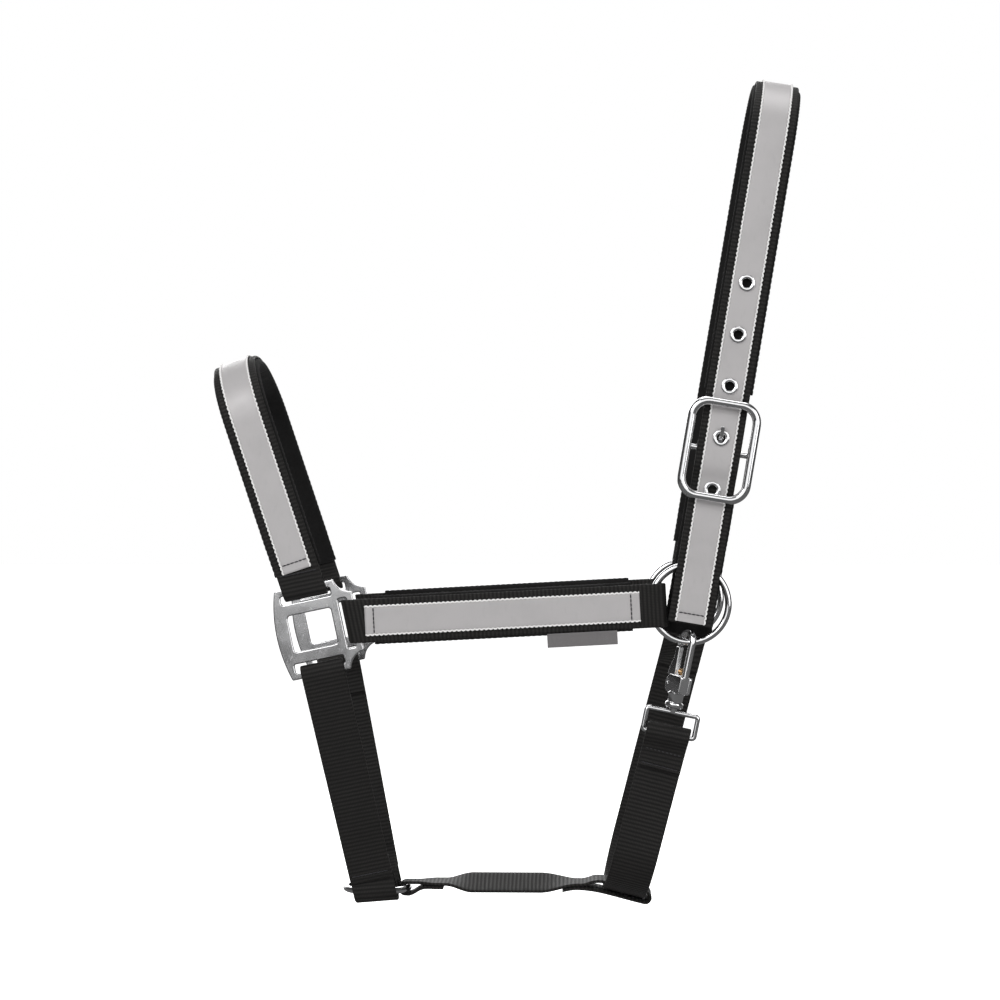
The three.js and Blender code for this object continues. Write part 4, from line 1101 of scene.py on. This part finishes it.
class HEADCOLLAR_OT_jaw_connector(bpy.types.Operator):
    """Jaw connector: webbing gathered into the chin ring and looped round the throat strap"""
    bl_idname = "headcollar.jaw_connector"
    bl_label = "Jaw connector"

    def execute(self, context):
        place = side_frame(CHIN_RING_AT, 90)
        wire = CHIN_R
        over = CHIN_R - math.sqrt(CHIN_R ** 2 - (CONNECTOR_NECK / 2) ** 2) + GAP
        a = rad(THROAT_LEAN)
        cx = THROAT_BOTTOM[0] - CHIN_RING_AT[0]
        cy = THROAT_BOTTOM[1] - CHIN_RING_AT[1] + 0.5 * MM
        opened = WEB_T + CONNECTOR_CLEAR
        half = WEB_W / 2 + 0.5 * MM

        def at(t, n):
            return (cx + t * math.cos(a) + n * math.sin(a), cy - t * math.sin(a) + n * math.cos(a))

        mouth = at(-half - 3 * MM, opened)
        line = fold(wire, 0, 1, 1, over)
        line += straight((wire + TAIL_RISE, LOOP_R), (mouth[0] - 8 * MM, LOOP_R), 5 * MM)
        line += [mouth, at(0, opened), at(half, opened)]
        for i in range(1, 8):
            b = math.pi * i / 8
            line.append(at(half + opened * math.sin(b), opened * math.cos(b)))
        line += [at(half, -opened), at(0, -opened), at(-half - 1 * MM, -opened)]
        line += [(mouth[0] - 9 * MM, LOOP_R - LAYER), (mouth[0] - 9 * MM - TAIL, LOOP_R - LAYER)]
        neck = CONNECTOR_NECK / WEB_W

        def turn(x):
            roll = smooth((x - wire - 22 * MM) / (16 * MM))
            return 90 + CONNECTOR_ROLL * roll * (1 - smooth((x - mouth[0] + 34 * MM) / (22 * MM)))

        def narrow(x):
            return neck + (1 - neck) * smooth((x - wire - 5 * MM) / (12 * MM))

        make_webbing("jaw_connector", line, place, turn=turn, narrow=narrow)
        return {"FINISHED"}


def along_snap(s):
    a = rad(SNAP_LEAN)
    return SNAP_AT[0] + s * math.sin(a), SNAP_AT[1] + s * math.cos(a)


class HEADCOLLAR_OT_throat_strap(bpy.types.Operator):
    """Throat strap: webbing from the snap hook's eye, under the throat, to the far ring"""
    bl_idname = "headcollar.throat_strap"
    bl_label = "Throat strap"

    def execute(self, context):
        place = side_frame(THROAT_BOTTOM, THROAT_LEAN)
        near = in_frame(THROAT_BOTTOM, THROAT_LEAN, along_snap(EYE_BAR))[0]
        far, far_skew, over = ring_fit(THROAT_BOTTOM, THROAT_LEAN, RING_AT, RING_R, -1)
        near_skew = math.tan(rad(SNAP_LEAN - THROAT_LEAN))
        near_y = -(HALF - LOOP_R)
        line = (fold(near, -HALF, -1, 1, RIM_OVER)
                + straight((near - TAIL_RISE, near_y), (THROAT_ARCH, near_y))
                + arch(THROAT_ARCH, near_y, OUT, -THROAT_ARCH)[1:-1]
                + straight((THROAT_ARCH, OUT), (far - TAIL_RISE, OUT))
                + fold(far, HALF, -1, 1, over)[::-1])

        def shear(x, y):
            if y < 0:
                return near_skew * fade_in(x, near)
            return far_skew * fade_in(x, far)

        make_webbing("throat_strap", line, place, shear=shear)
        tail_y = near_y - LAYER
        rows = [seam(place, (near - TAIL_RISE - q, tail_y), WEB_SEAM, -1, WEB_LIFT)
                for q in mm(1.5, 10)]
        rows += [seam(place, (far - TAIL_RISE - q, OUT), WEB_SEAM, 1, WEB_LIFT)
                 for q in mm(1.5, 10)]
        make_seam("throat_stitching", rows)
        return {"FINISHED"}


# ---------------------------------------------------------------- crown and its fittings

def crown_place():
    return side_frame(CROWN_AT, CROWN_LEAN)


def crown_legs(near_end, far_end):
    top = TAPE_OFF + PAD_T - CROWN_ARCH
    return (sampled(-near_end, top, crown_y)[:-1] + arch(top, -OUT, OUT, CROWN_ARCH)
            + straight((top, OUT), (far_end, OUT))[1:])


def at_eyelet(spot):
    x, y, slope = spot
    return crown_place() @ Matrix.Translation((x, y, 0)) @ Matrix.Rotation(slope, 4, "Z")


def lathe(name, profile, place, segments=48):
    """A solid turned round local Y from a closed profile of (radius, y)"""
    verts = [(r * math.cos(a), y, r * math.sin(a))
             for a in (2 * math.pi * i / segments for i in range(segments)) for r, y in profile]
    obj = new_object(name, verts, tube_faces(segments, len(profile)))
    bm = bmesh.new()
    bm.from_mesh(obj.data)
    bmesh.ops.remove_doubles(bm, verts=bm.verts, dist=1e-7)
    write_mesh(bm, obj.data)
    obj.data.transform(place)
    obj.data.set_sharp_from_angle(angle=rad(40))
    return obj


def punch(obj):
    """Cuts the eyelets' holes through a layer of the crown"""
    radius, reach = EYELET_ID / 2 + EYELET_WALL + 0.2 * MM, 9 * MM
    for i, spot in enumerate(eyelet_places()):
        tool = lathe("punch", [(0, -reach), (radius, -reach), (radius, reach), (0, reach)],
                     at_eyelet(spot), 28)
        cut = obj.modifiers.new(f"Hole {i}", "BOOLEAN")
        cut.operation, cut.solver, cut.object = "DIFFERENCE", "EXACT", tool
        apply_modifiers(obj)
        bpy.data.objects.remove(tool)
    obj.data.shade_smooth()
    obj.data.set_sharp_from_angle(angle=rad(60))


class HEADCOLLAR_OT_crown(bpy.types.Operator):
    """Crown: webbing over the poll with its padding and punched tape"""
    bl_idname = "headcollar.crown"
    bl_label = "Crown"

    def execute(self, context):
        place = crown_place()
        end, skew, over = CROWN_FIT
        line = crown_legs(CROWN_END, end + TAIL_RISE) + fold(end, HALF, 1, 1, over)[::-1]

        def shear(x, y):
            return 0.0 if y < 0 else skew * fade_out(x, end)

        punch(make_webbing("crown_strap", line, place, shear=shear))
        tape_line = crown_legs(CROWN_END - 1 * MM, end + TAIL_RISE + 4 * MM)
        punch(make_tape("crown_tape", tape_line, place, -TAPE_OFF - TAPE_T, -TAPE_OFF, -1))
        reach = TAIL_RISE + TAIL
        inner = over_tails(TAPE_OFF, (end + reach, 1))

        def outer(x):
            return TAPE_OFF + PAD_T + LAYER * (1 - float(smooth((x - end - reach - STEP) / STEP)))

        pad_end = BUCKLE_DOWN - BUCKLE_REACH - BUCKLE_BAR - 2 * MM
        pad_line = crown_legs(pad_end, end + TAIL_RISE + 2 * MM)
        make_pad("crown_pad", pad_line, place, inner, outer, 29)
        low = -(CROWN_END - 6 * MM)
        far = end + TAIL_RISE + 9 * MM
        make_seam("crown_stitching", [
            seam(place, (low, crown_y(low)), TAPE_SEAM, -1, TAPE_LIFT),
            seam(place, (far, OUT), TAPE_SEAM, 1, TAPE_LIFT)])
        return {"FINISHED"}


class HEADCOLLAR_OT_eyelets(bpy.types.Operator):
    """Rolled metal eyelets down the crown"""
    bl_idname = "headcollar.eyelets"
    bl_label = "Eyelets"

    def execute(self, context):
        bore, barrel = EYELET_ID / 2, EYELET_ID / 2 + EYELET_WALL
        seat = TAPE_OFF + TAPE_T + GAP
        rim, crest = EYELET_OD / 2, -seat - EYELET_WALL
        profile = [(bore, WEB_T / 2), (barrel, WEB_T / 2), (barrel, -seat), (rim - 0.1 * MM, -seat)]
        for i in range(9):
            a = math.pi * i / 8
            middle, half = (rim + bore) / 2, (rim - bore) / 2
            profile.append((middle + half * math.cos(a),
                            -seat + (crest + seat) * math.sin(a) ** 0.7))
        for i, spot in enumerate(eyelet_places()):
            name = f"eyelet_{i + 1}"
            obj = lathe(name, profile, at_eyelet(spot), 64)
            finish_metal(obj, "straps", name)
        return {"FINISHED"}


class HEADCOLLAR_OT_chape(bpy.types.Operator):
    """Chape: the short strap from the near ring to the buckle, with its padding"""
    bl_idname = "headcollar.chape"
    bl_label = "Chape"

    def execute(self, context):
        place = crown_place()
        bar, (end, skew, over) = -BUCKLE_DOWN, CROWN_FIT

        def height(x):
            k = crown_slope(x)
            return crown_y(x) + LAYER * math.hypot(1, k) + GAP * abs(k)

        line = (fold(end, -HALF, 1, -1, over) + sampled(end + TAIL_RISE, bar - TAIL_RISE, height)
                + fold(bar, BUCKLE_BAR_Y, -1, -1, GAP, 1 * MM)[::-1])
        make_webbing("near_chape", line, place, shear=lambda x, y:
                     skew * fade_out(x, end))
        half = CHAPE_PAD_T / 2
        beside = RING_LAYER + 2 * LAYER + TAPE_OFF + half
        by_loop = -HALF + LOOP_R + TAPE_OFF + half
        by_hook = -HALF + HOOK_INNER + HOOK_BAR + GAP + half + 0.4 * MM
        ring = -end
        level = stations(
            (CHAPE_PAD_END, by_hook), (ring + 24 * MM, by_hook), (ring + over + 6 * MM, by_loop),
            (ring - TAIL_RISE, by_loop), (ring - TAIL_RISE - TAIL, beside), (BUCKLE_DOWN, beside))
        pad_line = sampled(-CHAPE_PAD_END, bar - BUCKLE_REACH + 2 * MM, level)
        make_pad("near_chape_pad", pad_line, place, -half, half, 41)
        return {"FINISHED"}


def opening(x, y, w, h, r=1.1 * MM, steps=4):
    """A rectangle with round corners, as a closed line"""
    line = []
    for sx, sy, first in ((1, 1, 0), (-1, 1, 90), (-1, -1, 180), (1, -1, 270)):
        line += [(x + sx * (w / 2 - r) + r * math.cos(rad(first + 90 * i / steps)),
                  y + sy * (h / 2 - r) + r * math.sin(rad(first + 90 * i / steps)))
                 for i in range(steps + 1)]
    return line


def dense(line, step=1.5 * MM):
    """A closed line with long sides divided"""
    out = []
    for p, q in zip(line, line[1:] + line[:1]):
        p, q = np.array(p, float), np.array(q, float)
        gap = float(np.linalg.norm(q - p))
        if gap < 1e-9:
            continue
        count = max(1, round(gap / step))
        out += [tuple(p + (q - p) * i / count) for i in range(count)]
    return out


class HEADCOLLAR_OT_buckle(bpy.types.Operator):
    """Buckle: a rounded frame, its centre bar and its tongue"""
    bl_idname = "headcollar.buckle"
    bl_label = "Buckle"

    def execute(self, context):
        place = crown_place()
        bar = -BUCKLE_DOWN
        r = BUCKLE_BAR / 2
        loop = dense(opening(0, 0, BUCKLE_H - BUCKLE_BAR, BUCKLE_W - BUCKLE_BAR,
                             BUCKLE_CORNER - r, 12))
        rim = tube("rim", [(bar + x, FRAME_Y, z) for x, z in loop], r, place, 20, closed=True,
                   flat=(0, 1, 0))
        side = (BUCKLE_W - BUCKLE_BAR) / 2
        knee = 1.6 * MM
        bent = ((FRAME_Y, -side), (BUCKLE_BAR_Y - knee, -side), (BUCKLE_BAR_Y, -side),
                (BUCKLE_BAR_Y, -side + knee), (BUCKLE_BAR_Y, side - knee),
                (BUCKLE_BAR_Y, side), (BUCKLE_BAR_Y - knee, side), (FRAME_Y, side))
        path = [(bar, y, z) for y, z in bent]
        cross = tube("cross", spaced(path, 0.5 * MM, 3)[0], WIRE / 2, place, 16, flat=(1, 0, 0))
        finish_metal(joined("buckle_frame", [rim, cross]), "buckle_frame", "buckle_frame")

        x, y, _ = eyelet_places()[TONGUE_EYELET]
        t = TONGUE_T / 2
        inner = y + WEB_T / 2 + GAP + t
        outer = y - (TAPE_OFF + TAPE_T + GAP + EYELET_WALL) - GAP - t
        spine = [(bar + 2.6 * MM, BUCKLE_BAR_Y - 2.2 * MM), (x - 2 * MM, inner),
                 (x - 0.9 * MM, inner - 0.8 * MM), (x + 0.7 * MM, outer + 0.9 * MM),
                 (x + 2.4 * MM, outer), (x + 6.4 * MM, outer - 0.5 * MM)]
        arm = strap("arm", spine, place, TONGUE_W, -t, t, ribs=0, step=0.3 * MM, passes=1,
                    section=strip_section(TONGUE_W, TONGUE_T * 0.8, 5, 6))
        a, b, w = WIRE / 2 + GAP, TONGUE_EYE_R, TONGUE_W / 2
        soft = 0.35 * MM
        profile = [(a, -w + soft), (a + soft, -w), (b - soft, -w), (b, -w + soft), (b, w - soft),
                   (b - soft, w), (a + soft, w), (a, w - soft)]
        eye = lathe("eye", profile, place @ Matrix.Translation((bar, BUCKLE_BAR_Y, 0))
                    @ QUARTER, 40)
        finish_metal(joined("buckle_tongue", [arm, eye]), "buckle_tongue", "buckle_tongue")
        return {"FINISHED"}


# ---------------------------------------------------------------- cast and wire fittings

class HEADCOLLAR_OT_rings(bpy.types.Operator):
    """Near, far and chin rings: bent wire with its weld"""
    bl_idname = "headcollar.rings"
    bl_label = "Rings"

    def execute(self, context):
        upright, flat = QUARTER, Matrix.Identity(4)
        rings = [(f"{name}_ring", (RING_AT[0], side * HALF, RING_AT[1]), RING_R, upright, 290)
                 for name, side in SIDES]
        rings.append(("chin_ring", (CHIN_RING_AT[0], 0, CHIN_RING_AT[1]), CHIN_R, flat, 60))
        for name, centre, radius, turn, weld in rings:
            count = 144
            path, wire = [], []
            for i in range(count):
                a = 2 * math.pi * i / count
                path.append((radius * math.cos(a), radius * math.sin(a), 0))
                away = abs((math.degrees(a) - weld + 180) % 360 - 180) * math.pi / 180 * radius
                swell = 0.10 * MM * math.exp(-(away / (1.6 * MM)) ** 2)
                wire.append(WIRE / 2 - 0.06 * MM + swell)
            obj = tube(name, path, wire, Matrix.Translation(centre) @ turn, 24, closed=True)
            finish_metal(obj, name, name)
        return {"FINISHED"}


def quadratic(start, control, end, steps=14):
    s, c, e = (np.array(p, float) for p in (start, control, end))
    return [tuple((1 - t) ** 2 * s + 2 * t * (1 - t) * c + t * t * e)
            for t in (i / steps for i in range(1, steps + 1))]


class HEADCOLLAR_OT_squares(bpy.types.Operator):
    """Squares: cast fittings that join noseband, cheekpiece and chin strap"""
    bl_idname = "headcollar.squares"
    bl_label = "Squares"

    def execute(self, context):
        window_w, window_h, slot, slot_half = mm(25.4, 21, 4.8, 14.5)
        half, up, right = slot_half + 2.6 * MM, RIM_UP + 2 * MM, RIM_SIDE + 2 * MM
        ear = half + 1.5 * MM
        front = -window_w / 2 - 2 * 8.1 * MM + 3.9 * MM
        outline = [(-half, up), (half, up)]
        outline += quadratic((half, up), (ear, ear), (right, half))
        outline += [(right, -half)] + quadratic((right, -half), (ear, -ear), (half, -up))
        outline += [(-half, -up)] + quadratic((-half, -up), (front, 0), (-half, up), 28)[:-1]
        slot_up, slot_side = RIM_UP - (4 * MM + slot) / 2, RIM_SIDE - (4 * MM + slot) / 2
        holes = [opening(0, 0, window_w, window_h, 1.6 * MM),
                 opening(0, slot_up, 2 * slot_half, slot),
                 opening(0, -slot_up, 2 * slot_half, slot),
                 opening(slot_side, 0, slot, 2 * slot_half)]
        for name, side in SIDES:
            place = (Matrix.Translation((SQUARE_AT[0], side * HALF, SQUARE_AT[1]))
                     @ Matrix.Rotation(-rad(SQUARE_TILT), 4, "Y") @ QUARTER)
            obj = plate(f"{name}_square", outline, holes, 3.5 * MM, 0.95 * MM, place, 4)
            finish_metal(obj, "straps", f"{name}_square", "satin")
        return {"FINISHED"}


def snap_place(turn):
    """The snap's frame: local y runs up the snap, local x is turned from the side view"""
    a, b = rad(SNAP_LEAN), rad(turn)
    up = Vector((math.sin(a), 0, math.cos(a)))
    left = Vector((-math.cos(a), 0, math.sin(a)))
    out = left * math.cos(b) + Vector((0, 1, 0)) * math.sin(b)
    place = Matrix((out, up, out.cross(up))).transposed().to_4x4()
    place.translation = (SNAP_AT[0], -HALF, SNAP_AT[1])
    return place


def box(x0, x1, y0, y1):
    return [(x0, y0), (x1, y0), (x1, y1), (x0, y1)]


def snap_hook(place):
    """The hook's bent wire, thinner at its tip"""
    r = HOOK_R
    path = [(-r, BASE_TOP - 2 * MM, 0), (-r, -HOOK_BAR, 0)]
    for i in range(15):
        a = math.pi - math.pi * i / 14
        path.append((r * math.cos(a), r * math.sin(a), 0))
    path += [(r, HOOK_TIP + 1 * MM, 0), (r, HOOK_TIP, 0)]
    line = spaced(path, 0.5 * MM, 2)[0]
    wire = np.full(len(line), HOOK_BAR / 2 - 0.02 * MM)
    wire[-3:] = mm(1.92, 1.75, 1.35)
    return tube("hook", line, wire, place, 18)


def snap_base(place, bore):
    """Two cheeks either side of the gate, joined by a web and a floor"""
    low, high, out, py = BARREL_TOP, BASE_TOP, SNAP_OUT, PIVOT[1]
    half_w = BASE_W / 2
    face = [(-out, low + 1 * MM), (-out + 1.6 * MM, low), (out - 2 * MM, low),
            (out - 0.4 * MM, low + 1.8 * MM), (out, py + 1 * MM),
            (out - 1.2 * MM, high - 1.5 * MM), (out - 3 * MM, high),
            (-out + 0.5 * MM, high), (-out, high - 1.2 * MM)]
    made = []
    for way in (-1, 1):
        middle = Matrix.Translation((0, 0, way * (SLOT_HALF + half_w) / 2))
        made.append(plate("cheek", face, [bore], half_w - SLOT_HALF, 0.35 * MM, place @ middle, 3))
    web = box(-out + 0.1 * MM, -HOOK_BAR / 2, low + 0.3 * MM, high - 0.3 * MM)
    floor = box(-out + 1 * MM, out - 2 * MM, low + 0.1 * MM, low + 1.95 * MM)
    for name, outline in (("spacer", web), ("base", floor)):
        made.append(plate(name, outline, [], 2 * SLOT_HALF + 0.4 * MM, 0.1 * MM, place, 1))
    return made


def snap_barrel(place):
    """The turned barrel that the eye's stem swivels in"""
    b, bore = BARREL_D / 2, STEM_D / 2 + 0.3 * MM
    top, end = BARREL_TOP + 1 * MM, BARREL_END
    steps = ((1.6, top), (0.7, top - 0.5 * MM), (0.3, top - 1.4 * MM), (0.9, top - 2.6 * MM),
             (1.0, end + 3.6 * MM), (0.2, end + 3.0 * MM), (0, end + 2.4 * MM),
             (0, end + 0.9 * MM), (0.5, end + 0.2 * MM), (1.1, end))
    profile = [(0, top), *((b - cut * MM, y) for cut, y in steps),
               (bore, end), (bore, end + STEM_IN), (0, end + STEM_IN)]
    return lathe("barrel", profile, place, 48)


def snap_pin(place):
    r, w = PIN_R, BASE_W / 2
    profile = [(0, -w), (r * 0.6, -w), (r, -w + 0.25 * MM), (r, w - 0.25 * MM),
               (r * 0.6, w), (0, w)]
    return lathe("snap_gate_pin", profile, place @ Matrix.Translation((*PIVOT, 0)) @ QUARTER, 24)


def snap_gate(place, bore):
    """The gate, from its tip under the hook's point to its thumb lever"""
    px, py = PIVOT
    inner, edge = HOOK_INNER + 0.2 * MM, HOOK_INNER + HOOK_BAR - 0.3 * MM
    tip, thumb = HOOK_TIP - 0.6 * MM, HOOK_INNER + HOOK_BAR + 3.6 * MM
    shape = [(inner, tip), (edge, tip), (edge + 0.3 * MM, tip - 6 * MM), (thumb, py + 6 * MM),
             (thumb, py + 4 * MM), (edge, py + 1.8 * MM), (px + 2.6 * MM, py - 0.4 * MM),
             (px + 1.6 * MM, py - 2.3 * MM), (px, py - 2.8 * MM), (px - 1.8 * MM, py - 2.2 * MM),
             (px - 2.6 * MM, py), (inner - 0.6 * MM, py + 6 * MM)]
    return plate("snap_gate", shape, [bore], GATE_T, 0.4 * MM, place, 3)


def snap_spring(place):
    start, count = -HOOK_INNER + GAP + 0.3 * MM, SPRING_TURNS * SPRING_STEPS
    coil = []
    for i in range(count + 1):
        a = 2 * math.pi * i / SPRING_STEPS
        coil.append((start + (SPRING_END - start) * i / count,
                     SPRING_AT + SPRING_R * math.cos(a), SPRING_R * math.sin(a)))
    return tube("snap_spring", coil, SPRING_WIRE, place, 10, flat=(1, 0, 0))


def snap_eye(place):
    """The eye frame and its stem"""
    e, s, middle = EYE_WIRE, STEM_D / 2, (EYE_TOP + EYE_BAR) / 2
    loop = dense(opening(0, 0, EYE_W - e, EYE_TOP - EYE_BAR, 1.5 * MM, 6))
    eye = tube("eye", [(x, middle + y, 0) for x, y in loop], e / 2, place, 16, closed=True)
    top = BARREL_END + STEM_IN - 1 * MM
    profile = [(0, top), (s - 0.4 * MM, top), (s, top - 0.4 * MM), (s, EYE_TOP + 1.6 * MM),
               (s - 0.3 * MM, EYE_TOP), (0, EYE_TOP)]
    return [eye, lathe("stem", profile, place, 32)]


class HEADCOLLAR_OT_snap(bpy.types.Operator):
    """Trigger snap: hook, gate, pin, spring, swivel and eye"""
    bl_idname = "headcollar.snap"
    bl_label = "Snap hook"

    def execute(self, context):
        place = snap_place(SNAP_TURN)
        bore = [(PIVOT[0] + PIN_BORE_R * math.cos(rad(20 * i)),
                 PIVOT[1] + PIN_BORE_R * math.sin(rad(20 * i))) for i in range(18)]
        body = [snap_hook(place), *snap_base(place, bore), snap_barrel(place)]
        finish_metal(joined("snap_body", body), "snap_body", "snap_body")
        finish_metal(snap_pin(place), "snap_body", "snap_gate_pin", "satin")
        finish_metal(snap_gate(place, bore), "snap_gate", "snap_gate", "satin")
        finish_piece(snap_spring(place), "snap_body", "spring_brass", "brass", "snap_spring")
        finish_metal(joined("snap_eye", snap_eye(snap_place(0))), "snap_eye", "snap_eye")
        return {"FINISHED"}


# ---------------------------------------------------------------- stage, panel and running

def area_light(name, place, aim, size, power, tone=(1, 1, 1)):
    data = bpy.data.lights.new(name, "AREA")
    data.shape, data.size, data.size_y = "RECTANGLE", size[0], size[1]
    data.energy, data.color = power, tone
    light = bpy.data.objects.new(name, data)
    light.location = place
    light.rotation_euler = (Vector(aim) - Vector(place)).to_track_quat("-Z", "Y").to_euler()
    bpy.context.scene.collection.objects.link(light)


class HEADCOLLAR_OT_stage(bpy.types.Operator):
    """Pale floor, soft studio light and the camera"""
    bl_idname = "headcollar.stage"
    bl_label = "Stage"

    def execute(self, context):
        scene = context.scene
        reach, low = 14.0, -0.62
        corners = [(x, y, low) for x, y in box(-reach, reach, -reach, reach)]
        ground = new_object("studio_floor", corners, [(0, 1, 2, 3)])
        ground.data.materials.append(finish_of("floor"))

        world = bpy.data.worlds.new("Studio")
        world.use_nodes = True
        tree = world.node_tree
        w = Wiring(tree)
        back = tree.nodes["Background"]
        up = w.node("ShaderNodeSeparateXYZ", {0: w.node("ShaderNodeTexCoord").outputs["Generated"]})
        path = w.node("ShaderNodeLightPath")
        soft = w.remap(up.outputs[2], -0.5, 0.7, 0.16, 0.42)
        front = w.remap(w.math("ABSOLUTE", up.outputs[1]), 0.62, 0.93, 0.07, 1.3)
        above = w.remap(up.outputs[2], 0.80, 0.96, 0.0, 0.6)
        gloss = w.math("MAXIMUM", front, above)
        shown = w.node("ShaderNodeMix",
                       {0: path.outputs["Is Glossy Ray"], 2: soft, 3: gloss}).outputs[0]
        tone = w.node("ShaderNodeCombineXYZ", {0: shown, 1: shown, 2: shown}).outputs[0]
        white = (1.0, 1.0, 1.0, 1.0)
        w.link(w.mix(path.outputs["Is Camera Ray"], tone, white), back.inputs["Color"])
        back.inputs["Strength"].default_value = 1.0
        scene.world = world
        scene.view_settings.view_transform = "Standard"

        centre = (-0.16, 0, -0.24)
        area_light("key", (-1.3, -1.7, 1.0), centre, (1.2, 1.2), 24)
        area_light("fill", (1.5, -1.4, 0.3), centre, (1.0, 1.6), 12)
        area_light("top", (0.0, 0.3, 1.9), centre, (1.6, 1.2), 18)
        area_light("rim", (-0.6, 1.8, 0.5), centre, (1.6, 1.0), 18)

        data = bpy.data.cameras.new("camera")
        data.lens, data.sensor_width, data.clip_end = 96.0, 36.0, 100.0
        camera = bpy.data.objects.new("camera", data)
        turn, away = rad(-2.0), 1.520
        camera.location = (-0.160 - away * math.sin(turn), -0.048 - away * math.cos(turn), -0.236)
        camera.rotation_euler = (math.pi / 2, 0, -turn)
        scene.collection.objects.link(camera)
        scene.camera = camera
        return {"FINISHED"}


PIECES = (
    HEADCOLLAR_OT_noseband, HEADCOLLAR_OT_cheekpieces, HEADCOLLAR_OT_label, HEADCOLLAR_OT_squares,
    HEADCOLLAR_OT_chin_straps, HEADCOLLAR_OT_jaw_connector, HEADCOLLAR_OT_throat_strap,
    HEADCOLLAR_OT_crown, HEADCOLLAR_OT_eyelets, HEADCOLLAR_OT_chape, HEADCOLLAR_OT_buckle,
    HEADCOLLAR_OT_rings, HEADCOLLAR_OT_snap, HEADCOLLAR_OT_stage,
)


class HEADCOLLAR_PT_panel(bpy.types.Panel):
    """Sidebar panel with the headcollar's settings and pieces"""
    bl_idname = "HEADCOLLAR_PT_panel"
    bl_label = "Headcollar"
    bl_space_type = "VIEW_3D"
    bl_region_type = "UI"
    bl_category = "Headcollar"

    def draw(self, context):
        for settings in (context.scene.headcollar_sizes, context.scene.headcollar_colours):
            box = self.layout.box()
            for key in settings.__annotations__:
                box.prop(settings, key)
        for piece in PIECES:
            self.layout.operator(piece.bl_idname)


CLASSES = (HeadcollarSizes, HeadcollarColours, *PIECES, HEADCOLLAR_PT_panel)


def register():
    for cls in CLASSES:
        bpy.utils.register_class(cls)
    bpy.types.Scene.headcollar_sizes = PointerProperty(type=HeadcollarSizes)
    bpy.types.Scene.headcollar_colours = PointerProperty(type=HeadcollarColours)


def unregister():
    del bpy.types.Scene.headcollar_colours
    del bpy.types.Scene.headcollar_sizes
    for cls in reversed(CLASSES):
        bpy.utils.unregister_class(cls)


def main():
    register()
    for piece in PIECES:
        group, name = piece.bl_idname.split(".")
        getattr(getattr(bpy.ops, group), name)()
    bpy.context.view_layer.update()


if __name__ == "__main__":
    main()
